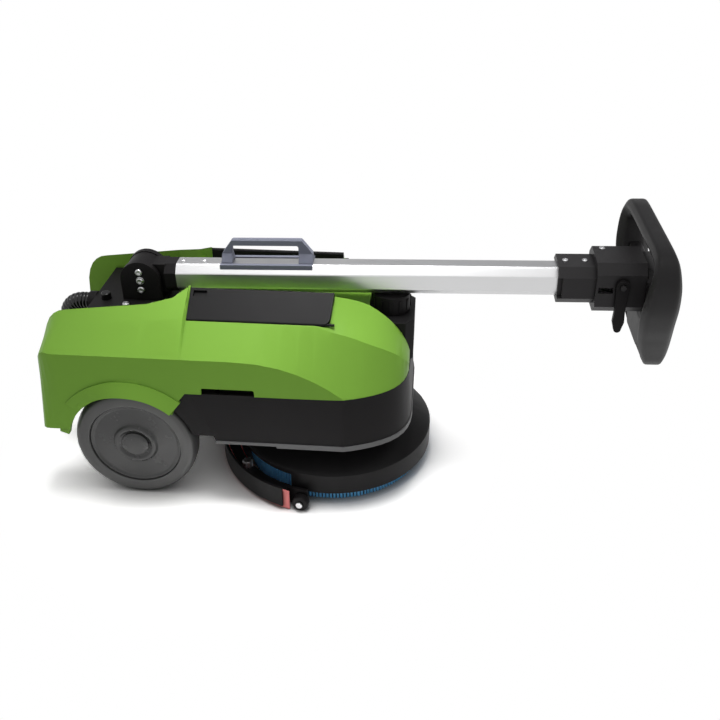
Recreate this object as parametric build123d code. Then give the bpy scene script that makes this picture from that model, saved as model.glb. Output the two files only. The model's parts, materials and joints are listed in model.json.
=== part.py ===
from build123d import *
import os
from math import atan2, cos, degrees, hypot, pi, radians, sin, sqrt, tan

# A compact walk-behind scrubber dryer with its handle folded forward over the body.
# Millimetres. +X is forward, +Y is the machine's left, +Z is up, and the floor is z = 0.
# The origin is on the floor, at the middle of the folded machine's length and width.

# Clearances
RUN_GAP = 0.06
FIT_GAP = 0.1
SEAT_GAP = 0.3
MOVE_GAP = 0.5

# How far a cutter runs past a face, and past the whole body
CUT = 1.0
FAR = 60.0

# Places along the machine
BRUSH_X = -30.3
WHEELBASE = 277.0
AXLE_X = BRUSH_X - WHEELBASE
TAIL_LENGTH = 129.0
TAIL_X = AXLE_X - TAIL_LENGTH

# Wheels and axle
WHEEL_R = 89.0
WHEEL_WIDTH = 40.0
WHEEL_INSET = 7.0
TYRE_DEPTH = 22.0
TYRE_EDGE = 7.0
WHEEL_DISH = 7.0
WHEEL_WEB = 7.0
RIM_FLANGE_T = 8.0
RIM_STEP = 1.0
RIM_STEP_W = 2.0
RIM_SLOPE_W = 6.0
HUB_RING_R = 31.0
HUB_RING_SLOPE = 3.0
HUB_RING_W = 4.0
HUB_RING_SET = 2.0
HUB_R = 18.0
HUB_CAP_R = 20.0
HUB_CAP_T = 5.0
HUB_CAP_EDGE = 2.0
HUB_CAP_BEVEL = 3.0
HUB_CAP_DOME = 1.0
AXLE_R = 8.0
AXLE_PLATE_T = 10.0
AXLE_PLATE_HALF = 24.0
AXLE_EDGE = 18.0
AXLE_END_GAP = 3.0
ARCH_GAP = 4.0
AXLE_Z = WHEEL_R
ARCH_R = WHEEL_R + ARCH_GAP

# Brush and its cover
BRUSH_R = 138.0
BRISTLE_L = 40.0
BRISTLE_W = 3.0
BRISTLE_ROWS = 3
BRISTLE_ROW_STEP = 7.5
BRISTLE_PITCH = 5.2
BRISTLE_ROW_FEWER = 8
BRISTLE_BACK = 3.0
BRISTLE_BACK_LIP = 1.0
BRUSH_PLATE_T = 8.0
BRUSH_PLATE_SET = 2.0
DRIVE_HUB_R = 30.0
DRIVE_HUB_T = 12.0
DRIVE_SHAFT_R = 9.0
DRIVE_SHAFT_REACH = 18.0
COVER_R = 150.0
COVER_WALL = 6.0
COVER_EDGE = 4.0
COVER_INNER_SET = 2.0
COVER_FOOT_Z = 20.0
COVER_RIM_Z = 52.0
COVER_KNEE_R = 118.0
COVER_KNEE_Z = 72.0
COVER_SHELF_Z = 84.0
COVER_SHELF_MARGIN = 4.0
WINDOW_TOP_Z = 45.0
WINDOW_HALF_ANGLE = 70.0
NECK_R = 62.0
NECK_WALL = 8.0

# Squeegee, an arc about the brush axis
SWIVEL_RING_T = 11.0
SWIVEL_RING_W = 12.0
ARM_HALF = 22.0
ARM_T = 8.0
LEG_INNER_SET = 2.0
LEG_OUTER_SET = 3.0
SQUEEGEE_GAP = 6.0
SQUEEGEE_DEPTH = 16.0
SQUEEGEE_FOOT_Z = 10.0
SQUEEGEE_TOP_Z = 30.0
SQUEEGEE_HALF_ANGLE = 70.0
BLADE_T = 3.0
BLADE_TOP_Z = 34.0
BLADE_TIP_Z = 0.6
BLADE_OVERRUN = 9.0
INNER_BLADE_DROP = 4.0
INNER_BLADE_SHORT = 1.0
BAND_T = 4.0
BAND_FOOT_Z = 6.0
BAND_TOP_Z = 40.0
ROLLER_R = 12.0
ROLLER_WIDTH = 12.0
ROLLER_ANGLE = 78.0
ROLLER_PIN_R = 3.0
ROLLER_HEAD_R = 5.0
ROLLER_HEAD_T = 3.0
ROLLER_EAR_T = 4.0
ROLLER_EAR_R = 8.0
ROLLER_EDGE_R = 2.0
ROLLER_LIFT = 0.3
KNOB_ANGLE = 42.0
KNOB_R = 7.5
KNOB_T = 12.0
KNOB_STUD_R = 3.0
KNOB_STUD_L = 10.0
KNOB_HOLE_DEPTH = 12.0
KNOB_FLUTES = 6
KNOB_FLUTE_R = 2.5
KNOB_FLUTE_OUT = 1.0

# Lower body, a tub open at the top
TUB_FLOOR_Z = 112.0
PARTING_Z = 188.0
TUB_WALL = 4.0
BODY_HALF = 155.0
SPINE_HALF = 84.0
SPINE_TUCK = 10.0
BEARER_SET = 2.0
SHAFT_HOLE_GAP = 5.0
FACET_SET = 28.0
FACET_X = BRUSH_X + FACET_SET
NOSE_LENGTH = 121.0
NOSE_X = BRUSH_X + NOSE_LENGTH
NOSE_POWER = 1.12
NOSE_ROUND = 5.0
TUB_DRAFT = 4.5
TUB_REAR_SLANT = 30.0
TRIM_T = 5.0
TRIM_DROP = 3.0
TRIM_WIDTH = 10.0
TRIM_PROUD = 1.5
TRIM_STEP_BACK = 67.0
GUARD_TOP_REACH = 41.6
GUARD_FOOT_REACH = 55.5
GUARD_SET = 2.0

# Upper hood
HOOD_WALL = 3.5
HOOD_FOOT_Z = 119.0
RIDGE_HALF = 62.0
RIDGE_Z = 310.0
COLUMN_BAY_HALF = 46.0
SHOULDER_HALF = 109.0
SHOULDER_Z = 277.6
CREASE_SET = 5.0
CREASE_Z = 242.0
CREASE_POWER = 2.4
CREASE_FALL_BACK = 130.0
CREASE_FOOT = 1.0
CREASE_UNDER = 14.0
CROWN_RISE = 4.0
CROWN_STEP = 3.0
CROWN_SLOPE = 0.12
TAIL_ROUND = 34.0
TAIL_DROP = 50.0
TAIL_CORNER = 38.0
TAIL_FOOT_CORNER = 10.0
NOSE_CENTRE_BACK = 60.0
CROWN_END_SET = 3.7
SHOULDER_SWELL = 8.0
CHANNEL_Z = 262.0
CHANNEL_LIP = 8.0
REAR_BAY_HALF = 88.0
REAR_BAY_FRONT = 27.0
REAR_BAY_CHAMFER = 36.0
GRIP_NOTCH_LENGTH = 74.0
GRIP_NOTCH_H = 10.0
GRIP_NOTCH_BACK = 168.0
GRIP_NOTCH_DEPTH = 20.0
GRIP_NOTCH_R = 3.0
ARCH_CUT_SET = 20.0
ARCH_CUT_DROP = 25.0
SPINE_ROOM = 20.0
SPINE_ROOM_BACK = 6.0
FLARE_W = 19.5
FLARE_SLOPE = 0.24
FLARE_AHEAD = 6.0
FLARE_UP = 5.0
FLARE_T = 5.0
FLARE_END_ANGLE = 171.0
FLARE_SINK = 3.5

# Lids over the two side bays: a slanted top and a flange down the pole channel
LID_REAR_SET = 86.5
LID_FRONT_SET = 5.5
LID_REAR_X = AXLE_X + LID_REAR_SET
LID_FRONT_X = BRUSH_X + LID_FRONT_SET
LID_REAR_LEAN = 0.5
LID_FRONT_LEAN = 3.5
LID_T = 6.0
LID_OUTER_SET = 2.5
LID_FLANGE = 30.0
LID_FLANGE_T = 4.0
LID_CORNER_R = 14.0
LID_RIDGE_R = 3.0
LID_PIN_R = 1.8
LID_PIN_L = 4.0
LID_GAP = 0.6
LID_SWING_ROOM = 8.5
LID_BAY_OPEN = 20.0
LID_RELIEF = 3.0
LID_SEAL_BACK = 17.0
LID_LEDGE = 7.0
LID_NOTCH_L = 19.0
LID_NOTCH_W = 9.0
LID_NOTCH_DEPTH = 4.0
LID_NOTCH_SET = 4.0
LID_NOTCH_V = 8.0
LID_FRAME_RIM = 12.0
LID_FRAME_T = 14.0
SEAL_T = 1.5
SEAL_W = 5.0

# Tanks, battery and motors
COLUMN_HALF = 45.5
COLUMN_FRONT_SET = 1.5
COLUMN_FOOT_SET = 2.0
COLUMN_BEVEL = 12.0
COLUMN_SET = 54.0
COLUMN_X = BRUSH_X + COLUMN_SET
COLUMN_TOP_Z = 253.0
TANK_WALL = 3.0
TANK_FOOT_Z = 136.0
NECK_SET = 85.0
NECK_X = BRUSH_X + NECK_SET
FILLER_R = 23.0
FILLER_BORE_R = 19.0
FILLER_H = 12.0
CAP_R = 27.0
CAP_H = 27.0
CAP_TOP_T = 4.0
CAP_RIBS = 12
CAP_RIB_W = 4.0
CAP_RIB_PROUD = 1.2
CAP_RIB_SET = 5.0
RECOVERY_INNER_Y = 73.0
RECOVERY_OUTER_SET = 12.0
RECOVERY_SET = 18.0
RECOVERY_KNEE_Z = 204.0
RECOVERY_KNEE_OUT = 2.0
BATTERY_LENGTH = 118.0
BATTERY_WIDTH = 76.0
BATTERY_H = 102.0
BATTERY_SIDE_GAP = 13.0
BATTERY_REAR_GAP = 4.0
BATTERY_EDGE_R = 4.0
TERMINAL_R = 6.0
TERMINAL_H = 8.0
TERMINAL_SET = 19.0
GEARBOX_R = 50.0
GEARBOX_FLANGE_T = 6.0
GEARBOX_BODY_R = 37.0
GEARBOX_H = 34.0
MOTOR_R = 44.0
MOTOR_H = 84.0
MOTOR_NOSE_R = 14.0
MOTOR_NOSE_H = 5.0
MOTOR_SCREW_PCD_R = 43.0
VACUUM_BACK = 118.0
VACUUM_R = 44.0
VACUUM_H = 96.0
VACUUM_CORE_H = 38.0
VACUUM_WALL = 3.0
VACUUM_INLET_R = 15.0
FAN_R = 36.0
FAN_H = 24.0
FAN_PLATE_T = 3.0
FAN_BLADES = 9
FAN_BLADE_R = 21.6
FAN_BLADE_L = 26.0
FAN_BLADE_T = 2.0
FAN_BLADE_H = 19.0
FAN_BLADE_ANGLE = 30.0
FAN_SHAFT_R = 4.0
FAN_SHAFT_DEPTH = 18.0
BOARD_LENGTH = 84.0
BOARD_WIDTH = 110.0
BOARD_T = 2.0
BOARD_POST_H = 10.0
BOARD_POST_R = 3.0
BOARD_POST_SET = 5.0
BOARD_SET = 14.0
BOARD_MARGIN = 12.0
SINK_LENGTH = 28.0
SINK_WIDTH = 34.0
SINK_H = 16.0
DRIVER_LENGTH = 26.0
DRIVER_WIDTH = 32.0
DRIVER_H = 10.0
CAPACITOR_R = 5.0
CAPACITOR_H = 14.0
CAPACITOR_STEP = 16.0
VALVE_LENGTH = 26.0
VALVE_WIDTH = 22.0
VALVE_COIL_L = 14.0
VALVE_COIL_R = 8.0
PIPE_R = 4.0
PIPE_WALL = 1.0

# Rear housing, drain hose and handle hinge
DECK_Z = 257.0
DECK_T = 6.0
HOUSING_SET = 4.5
HOUSING_GAP = 1.0
HOUSING_LAP = 4.0
HOSE_R = 13.0
HOSE_VALLEY_R = 11.4
HOSE_BORE_R = 9.0
HOSE_DROP = 13.0
HOSE_BEND_R = 26.0
HOSE_RUN = 23.5
HOSE_TAIL = 60.0
HOSE_RIB = 5.0
HOSE_RIB_RISE = 0.25
HOSE_RIB_TOP = 0.6
HOSE_RIB_FALL = 0.85
HOSE_BORE_STEPS = 24
CUFF_R = 15.0
CUFF_L = 12.0
PLUG_H = 16.0
PLUG_SKIRT = 10.0
PLUG_STEP = 1.0
SHELF_T = 8.0
SHELF_RIM_T = 3.0
SHELF_RIM_H = 6.0
SHELF_WEB_L = 24.0
SHELF_WEB_H = 20.0
SHELF_WEB_T = 8.0
RESET_R = 7.0
RESET_H = 10.0
RESET_FORWARD = 19.0
RESET_SIDE = 14.0
RESET_EDGE_R = 2.0
RESET_FLANGE = 2.0
HINGE_BACK = 1.0
HINGE_Z = 293.0
HINGE_R = 29.0
CHEEK_T = 9.0
TONGUE_HALF = 14.6
TONGUE_SET = 1.0
HINGE_PIN_R = 6.0
HINGE_PIN_HEAD = 2.0
HINGE_PLATE_T = 5.0
HINGE_PLATE_HALF_L = 32.0
HINGE_PLATE_HALF_W = 48.0
BOLT_HEAD_R = 4.5
BOLT_HEAD_H = 3.5
BOLT_R = 2.5
BOLT_L = 7.0
BOLT_RISE = 14.0
FLANGE_BOLT_X = 20.0
FLANGE_BOLT_Y = 40.0

# Folding pole, in its own frame: s along the pole from the hinge, z across it
FOLD_TILT = 1.72
POLE_WIDTH = 44.0
POLE_BEVEL = 11.0
POLE_WALL = 2.5
POLE_START = 53.0
POLE_END = 690.0
KNUCKLE_START = 36.0
PLUG_LENGTH = 32.0
CARRY_START = 118.0
CARRY_END = 251.0
CARRY_KNEE_START = 121.0
CARRY_TOP_START = 137.0
CARRY_TOP_END = 235.5
CARRY_WINDOW_START = 135.5
CARRY_WINDOW_END = 231.0
CARRY_H = 35.0
CARRY_KNEE_H = 14.0
CARRY_BAR = 9.5
CARRY_HALF = 4.5
CARRY_EDGE = 1.8
CARRY_FOOT_HALF = 11.0
CARRY_FOOT_H = 2.0
CARRY_RAIL_HALF = 17.0
CARRY_RAIL_H = 1.0
CARRY_LAP = 2.0
CARRY_CORNER_R = 5.0
CARRY_WINDOW_R = 3.0
COLLAR_START = 593.0
COLLAR_WIDTH = 66.0
COLLAR_H = 55.0
COLLAR_BEVEL = 12.0
COLLAR_RELIEF = 6.0
COLLAR_RELIEF_SET = 4.0
SLEEVE_START = 643.0
SLEEVE_END = 709.0
SLEEVE_WIDTH = 80.0
SLEEVE_H = 74.0
SLEEVE_BEVEL = 13.0
SLEEVE_WALL = 5.0
SCREW_HEAD_R = 3.2
SCREW_HEAD_H = 2.0
SCREW_R = 1.8
SCREW_L = 3.0
POLE_SCREW_FIRST = 61.0
POLE_SCREW_STEP = 31.0
COLLAR_SCREW_FIRST = 11.0
COLLAR_SCREW_STEP = 27.0
SLEEVE_SCREW_SET = 13.0
SLEEVE_SCREW_Y = 20.0

# Steering loop and its controls
# Stations of half the loop, from the middle of the top bar to the apex:
# across, up, past the sleeve's end, depth along the pole, thickness
LOOP_STATIONS = (
    (0.0, 71.0, 5.0, 30.0, 24.0),
    (45.0, 71.0, 5.0, 30.0, 24.0),
    (80.0, 70.0, 5.0, 31.0, 24.0),
    (99.0, 66.0, 5.0, 33.0, 24.0),
    (107.5, 54.0, 5.0, 38.0, 23.0),
    (107.0, 36.0, 5.5, 44.0, 23.0),
    (99.0, 8.0, 6.5, 49.0, 23.0),
    (82.0, -24.0, 10.0, 49.0, 23.0),
    (62.0, -54.0, 15.5, 48.0, 23.0),
    (40.0, -86.0, 22.5, 44.0, 23.0),
    (20.0, -112.0, 29.5, 36.0, 25.0),
    (0.0, -124.0, 34.0, 32.0, 26.0),
)
LOOP_ROUND = 0.42
HUB_WIDTH = 96.0
HUB_H = 76.0
HUB_BEVEL = 16.0
HUB_DROP = 10.0
HUB_T = 18.0
HUB_WEB = ((98.0, 16.0), (84.0, -20.0), (60.0, -56.0), (34.0, -89.0))
PANEL_MARGIN = 6.0
PANEL_T = 6.0
BUTTON_R = 8.0
BUTTON_PROUD = 3.0
BUTTON_TRAVEL = 2.0
BUTTON_Y = 22.0
BUTTON_Z = -24.0
SCREEN_WIDTH = 52.0
SCREEN_H = 26.0
SCREEN_Z = 4.0
SCREEN_DEPTH = 1.5
LEVER_S = 677.0
LEVER_Z = 10.0
LEVER_TIP_Z = -60.0
LEVER_WAIST_Z = -26.0
LEVER_BELLY_Z = -44.0
LEVER_HALF = 8.0
LEVER_WAIST_HALF = 7.0
LEVER_TIP_R = 5.0
LEVER_T = 8.0
LEVER_PIN_R = 4.0
LEVER_PIN_END = 2.0
LEVER_HEAD_R = 9.0
LEVER_SLOT_L = 20.0
LEVER_SLOT_H = 9.0
LEVER_SLOT_SET = 2.0

# Shares of the nose's length at which its outline is drawn
NOSE_PLAN_STEPS = (0.0, 0.12, 0.27, 0.42, 0.56, 0.69, 0.8, 0.88, 0.94, 0.975, 0.993)
NOSE_END = 0.985

# Shares of each stretch of the hood at which a section is drawn
TAIL_STEPS = (0.0, 0.06, 0.18, 0.34, 0.54, 0.76, 1.0)
CREASE_STEPS = (0.0, 0.28, 0.5, 0.68, 0.84, 1.0)
NOSE_STEPS = (0.0, 0.16, 0.32, 0.46, 0.59, 0.7, 0.79, 0.87, 0.93, 0.97, 1.0)

# Which way the hood's inner face lies from its foot, crease, shoulder, ridge and channel corners, in walls
HOOD_INSETS = ((-1.0, -6.0), (-1.0, -0.4), (-0.5, -1.1), (1.0, -1.3), (1.0, -1.0))

# Values worked out from the sizes above
WHEEL_FACE = BODY_HALF - WHEEL_INSET
WHEEL_BACK = WHEEL_FACE - WHEEL_WIDTH
RIM_R = WHEEL_R - TYRE_DEPTH
TUB_REAR_X = AXLE_X + ARCH_R
TUB_REAR_FOOT_X = TUB_REAR_X + TUB_REAR_SLANT
SPINE_REAR_X = AXLE_X - ARCH_R + SPINE_TUCK
BEARER_Y = SPINE_HALF - BEARER_SET
HINGE_X = AXLE_X - HINGE_BACK
BRUSH_PLATE_Z = BRISTLE_L + BRISTLE_BACK
HUB_TOP_Z = BRUSH_PLATE_Z + BRUSH_PLATE_T + DRIVE_HUB_T
GEARBOX_FOOT_Z = TUB_FLOOR_Z + TUB_WALL
SHAFT_TOP_Z = GEARBOX_FOOT_Z + DRIVE_SHAFT_REACH
CHANNEL_FRONT_X = COLUMN_X - MOVE_GAP
REAR_BAY_X = AXLE_X + REAR_BAY_FRONT
REAR_BAY_END_X = REAR_BAY_X + REAR_BAY_CHAMFER
LID_PLANE_REAR_X = LID_REAR_X - LID_REAR_LEAN - LID_GAP
LID_PLANE_FRONT_X = LID_FRONT_X + LID_FRONT_LEAN + LID_GAP
LID_SPAN = hypot(SHOULDER_HALF - RIDGE_HALF, RIDGE_Z - SHOULDER_Z)
LID_OUTER_V = LID_SPAN - LID_OUTER_SET
BAY_WALL_Y = RIDGE_HALF + LID_FLANGE_T + LID_GAP + HOOD_WALL
HOUSING_REAR_X = SPINE_REAR_X + HOUSING_SET
HOSE_Z = DECK_Z - HOSE_DROP
HOSE_X = HOUSING_REAR_X - HOSE_RUN - HOSE_BEND_R
HOSE_TURN_Z = HOSE_Z - HOSE_BEND_R
HOSE_END_Z = HOSE_TURN_Z - HOSE_TAIL
HINGE_HALF = TONGUE_HALF + FIT_GAP * 4 + CHEEK_T
SQUEEGEE_R = COVER_R + SQUEEGEE_GAP
BLADE_R = SQUEEGEE_R + SQUEEGEE_DEPTH + FIT_GAP
BAND_R = BLADE_R + BLADE_T + FIT_GAP
ROLLER_Z = ROLLER_R + ROLLER_LIFT
ROLLER_MID_R = SQUEEGEE_R + ROLLER_EAR_T + MOVE_GAP + ROLLER_WIDTH / 2


def block(x0, x1, y0, y1, z0, z1):
    """A box between two corners."""
    return Pos((x0 + x1) / 2, (y0 + y1) / 2, (z0 + z1) / 2) * Box(x1 - x0, y1 - y0, z1 - z0)


def post(x, y, z0, z1, r):
    """An upright round bar."""
    return Pos(x, y, (z0 + z1) / 2) * Cylinder(r, z1 - z0)


def bar_y(x, z, y0, y1, r):
    """A round bar across the machine."""
    return Pos(x, (y0 + y1) / 2, z) * Rot(90, 0, 0) * Cylinder(r, y1 - y0)


def bar_x(y, z, x0, x1, r):
    """A round bar along the machine."""
    return Pos((x0 + x1) / 2, y, z) * Rot(0, 90, 0) * Cylinder(r, x1 - x0)


def prism_z(points, z0, z1):
    """A flat outline in plan, raised between two heights."""
    return Pos(0, 0, z0) * extrude(make_face(Polyline(*points, close=True)), amount=z1 - z0)


def prism_y(points, y0, y1):
    """A side outline of x and z points, carried across between two widths."""
    face = Plane.XZ * make_face(Polyline(*points, close=True))
    return Pos(0, y1, 0) * extrude(face, amount=y1 - y0)


def prism_x(points, x0, x1):
    """A cross-section of y and z points, carried along between two stations."""
    face = Plane.YZ * make_face(Polyline(*points, close=True))
    return Pos(x0, 0, 0) * extrude(face, amount=x1 - x0)


def turned(points):
    """An outline of radius and height points, turned about the upright axis at the origin."""
    return revolve(Plane.XZ * make_face(Polyline(*points, close=True)), axis=Axis.Z)


def arc_band(r0, r1, z0, z1, half_angle):
    """A band about the brush axis, centred on the rear."""
    points = [(r0, z0), (r1, z0), (r1, z1), (r0, z1)]
    face = Plane.XZ * make_face(Polyline(*points, close=True))
    band = revolve(face, axis=Axis.Z, revolution_arc=2 * half_angle)
    return Rot(0, 0, 180 - half_angle) * band


def octagon(width, height, bevel):
    """The corners of a rectangle with bevelled corners, about the origin."""
    w, h = width / 2, height / 2
    return [(w, -h + bevel), (w, h - bevel), (w - bevel, h), (-w + bevel, h),
            (-w, h - bevel), (-w, -h + bevel), (-w + bevel, -h), (w - bevel, -h)]


def mirrored(piece):
    """A piece's mirror image across the machine's middle plane."""
    return mirror(piece, about=Plane.XZ)


def both_sides(piece):
    """A piece together with its mirror image."""
    return piece + mirrored(piece)


def screw(head_r, head_h, shank_r, shank_l):
    """A cap screw standing on z = 0 with its shank below."""
    return post(0, 0, 0, head_h, head_r) + post(0, 0, -shank_l, 0, shank_r)


def nose_half(x, inset):
    """Half width of the blunt nose ahead of the facet line, moved in by an inset."""
    run = (x - FACET_X) / (NOSE_X - inset - FACET_X)
    return (BODY_HALF - inset) * (1 - min(run, 1.0) ** NOSE_POWER) ** (1 / NOSE_ROUND)


def nose_plan(inset):
    """The front half of the body's plan outline, moved in by an inset, from the left side to the right."""
    length = NOSE_X - inset - FACET_X
    stations = [FACET_X + step * length for step in NOSE_PLAN_STEPS]
    left = [(x, nose_half(x, inset)) for x in stations]
    return left + [(x, -y) for x, y in reversed(left)]


def body_plan(rear_x, inset):
    """The wide part of the body in plan, moved in by an inset on its sides and front."""
    half = BODY_HALF - inset
    return [(rear_x, -half), (rear_x, half)] + nose_plan(inset)


def drafted(rear_x, inset, z0, z1):
    """The wide part of the body between two heights, with sides that lean in towards the parting line."""
    def layer(z):
        lean = TUB_DRAFT * (z - TUB_FLOOR_Z) / (PARTING_Z - TUB_FLOOR_Z)
        return Pos(0, 0, z) * make_face(Polyline(*body_plan(rear_x, inset + lean), close=True))
    return loft([layer(z0), layer(z1)], ruled=True)


# Lower body

def chassis_tub():
    wide = drafted(TUB_REAR_X, 0, TUB_FLOOR_Z, PARTING_Z)
    spine = block(SPINE_REAR_X, TUB_REAR_FOOT_X, -SPINE_HALF, SPINE_HALF, TUB_FLOOR_Z, PARTING_Z)
    slant = [(TUB_REAR_X - CUT, PARTING_Z), (TUB_REAR_X, PARTING_Z),
             (TUB_REAR_FOOT_X, TUB_FLOOR_Z), (TUB_REAR_X - CUT, TUB_FLOOR_Z)]
    slanted = both_sides(prism_y(slant, SPINE_HALF, BODY_HALF + CUT))
    floor_z = TUB_FLOOR_Z + TUB_WALL
    top_z = PARTING_Z + CUT
    front_x = TUB_REAR_FOOT_X + TUB_WALL
    hollow = drafted(front_x, TUB_WALL, floor_z, top_z)
    inside = SPINE_HALF - TUB_WALL
    hollow += block(SPINE_REAR_X + TUB_WALL, front_x + CUT, -inside, inside, floor_z, top_z)
    shaft_hole = post(BRUSH_X, 0, TUB_FLOOR_Z - CUT, floor_z + CUT, DRIVE_SHAFT_R + SHAFT_HOLE_GAP)
    pipe_hole = post(NECK_X, 0, TUB_FLOOR_Z - CUT, floor_z + CUT, PIPE_R + SEAT_GAP)
    return wide - slanted + spine - hollow - shaft_hole - pipe_hole - motor_screw_set(FIT_GAP)


def bottom_trim():
    top = TUB_FLOOR_Z
    foot = top - TRIM_T
    low = foot - TRIM_DROP
    ring = prism_z(body_plan(TUB_REAR_FOOT_X, -TRIM_PROUD), foot, top)
    ring -= prism_z(body_plan(TUB_REAR_FOOT_X + TRIM_WIDTH, TRIM_WIDTH), foot - CUT, top + CUT)
    step_x = BRUSH_X - TRIM_STEP_BACK
    drop = prism_z(body_plan(step_x, -TRIM_PROUD), low, foot)
    drop -= prism_z(body_plan(step_x - CUT, TRIM_WIDTH), low - CUT, top)
    return ring + drop


def wheel_guards():
    reach = ARCH_R - ARCH_GAP / 2
    top_z = PARTING_Z - SEAT_GAP
    slope = TUB_REAR_SLANT / (PARTING_Z - TUB_FLOOR_Z)
    front_top_x = TUB_REAR_X + slope * (PARTING_Z - top_z) - FIT_GAP
    profile = [(AXLE_X + GUARD_TOP_REACH, top_z), (front_top_x, top_z),
               (TUB_REAR_FOOT_X - FIT_GAP, TUB_FLOOR_Z), (AXLE_X + GUARD_FOOT_REACH, TUB_FLOOR_Z)]
    guard = prism_y(profile, SPINE_HALF + FIT_GAP, WHEEL_FACE - GUARD_SET)
    return both_sides(guard - bar_y(AXLE_X, AXLE_Z, SPINE_HALF - CUT, BODY_HALF, reach))


# Hood

def crown(x):
    """Heights of the hood's ridge and shoulder at a station along the machine."""
    share = (SHOULDER_Z - PARTING_Z) / (RIDGE_Z - PARTING_Z)
    if x > LID_PLANE_FRONT_X:
        centre = BRUSH_X - NOSE_CENTRE_BACK
        run = (x - centre) / (NOSE_X - CROWN_END_SET - centre)
        ridge = PARTING_Z + (RIDGE_Z - PARTING_Z) * sqrt(max(0.0, 1 - run ** 2))
        return ridge, PARTING_Z + share * (ridge - PARTING_Z)
    if x >= LID_PLANE_REAR_X:
        return RIDGE_Z, SHOULDER_Z
    fall = CROWN_SLOPE * (LID_PLANE_REAR_X - x) - CROWN_RISE
    turn = max(0.0, TAIL_X + TAIL_ROUND - x) / TAIL_ROUND
    fall += TAIL_DROP * (1 - sqrt(1 - turn ** 2))
    return RIDGE_Z - fall, SHOULDER_Z + CROWN_RISE - fall


def side_half(x, inset, tail_corner):
    """Half width of the hood, moved in by an inset, rounded in at the tail and at the nose."""
    if x < TAIL_X + tail_corner:
        turn = (TAIL_X + tail_corner - x) / tail_corner
        return BODY_HALF - inset - tail_corner * (1 - sqrt(1 - turn ** 2))
    if x <= FACET_X:
        return BODY_HALF - inset
    return nose_half(x, inset)


def crease_height(x):
    """Height of the crease along the hood's side, which runs down to the parting line at the facet."""
    start = BRUSH_X - CREASE_FALL_BACK
    low = PARTING_Z + CREASE_FOOT
    if x >= FACET_X:
        return low
    fallen = max(0.0, x - start) / (FACET_X - start)
    height = CREASE_Z - (CREASE_Z - low) * fallen ** CREASE_POWER
    return min(height, crown(x)[1] - CREASE_UNDER)


def ridge_half(x):
    """Half the width between the two ridges: even along the lids, then closing in to the column's bay."""
    share = (x - LID_PLANE_FRONT_X) / (CHANNEL_FRONT_X - LID_PLANE_FRONT_X)
    share = min(1.0, max(0.0, share))
    return RIDGE_HALF + share * (COLUMN_BAY_HALF - RIDGE_HALF)


def hood_section(x, inset):
    """The hood's outline across the machine at one station, moved in by an inset."""
    ridge, shoulder = crown(x)
    half = side_half(x, 0, TAIL_CORNER)
    shoulder_half = min(SHOULDER_HALF, half * SHOULDER_HALF / BODY_HALF + SHOULDER_SWELL)
    channel = min(CHANNEL_Z, ridge - CHANNEL_LIP)
    inner = ridge_half(x)
    corners = [(side_half(x, 0, TAIL_FOOT_CORNER), HOOD_FOOT_Z),
               (side_half(x, CREASE_SET, TAIL_CORNER), crease_height(x)),
               (shoulder_half, shoulder), (inner, ridge), (inner, channel)]
    left = [(y + inset * in_y, z + inset * in_z) for (y, z), (in_y, in_z) in zip(corners, HOOD_INSETS)]
    points = left + [(-y, z) for y, z in reversed(left)]
    return Plane.YZ.offset(x) * make_face(Polyline(*points, close=True))


def hood_stations(inset):
    tail = TAIL_X + inset
    nose = FACET_X + NOSE_END * (NOSE_X - CREASE_SET - FACET_X) - inset
    fall_x = BRUSH_X - CREASE_FALL_BACK
    stations = [tail + step * (TAIL_X + TAIL_CORNER - tail) for step in TAIL_STEPS]
    stations += [REAR_BAY_X, LID_PLANE_REAR_X - CROWN_STEP, LID_PLANE_REAR_X]
    stations += [fall_x + step * (LID_PLANE_FRONT_X - fall_x) for step in CREASE_STEPS]
    return stations + [FACET_X + step * (nose - FACET_X) for step in NOSE_STEPS]


def rear_bay(inset, z0, z1):
    """The open bay between the hood's two tails, narrowing forward to the pole channel."""
    half = REAR_BAY_HALF + inset
    tip = RIDGE_HALF + inset
    turn = atan2(REAR_BAY_HALF - RIDGE_HALF, REAR_BAY_CHAMFER)
    corner_x = REAR_BAY_X + inset * tan(turn / 2)
    end_x = REAR_BAY_END_X + inset
    points = [(TAIL_X - FAR, half), (corner_x, half), (end_x, tip),
              (end_x, -tip), (corner_x, -half), (TAIL_X - FAR, -half)]
    return prism_z(points, z0, z1)


def front_bay(inset, z0, z1):
    """The open bay at the nose that the solution tank's column stands in."""
    half = COLUMN_BAY_HALF + inset
    return block(CHANNEL_FRONT_X - inset, NOSE_X + FAR, -half, half, z0, z1)


# The left lid's plane: x along the machine, v down from the ridge to the shoulder, n off the face
LID_PLANE = Plane(origin=(0, RIDGE_HALF, RIDGE_Z), x_dir=(1, 0, 0),
                  z_dir=(0, RIDGE_Z - SHOULDER_Z, SHOULDER_HALF - RIDGE_HALF))
LID_HINGE_V = LID_OUTER_V - LID_T / 2
LID_HINGE_N = -LID_T / 2
LID_SLOPE = (RIDGE_Z - SHOULDER_Z) / (SHOULDER_HALF - RIDGE_HALF)


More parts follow.
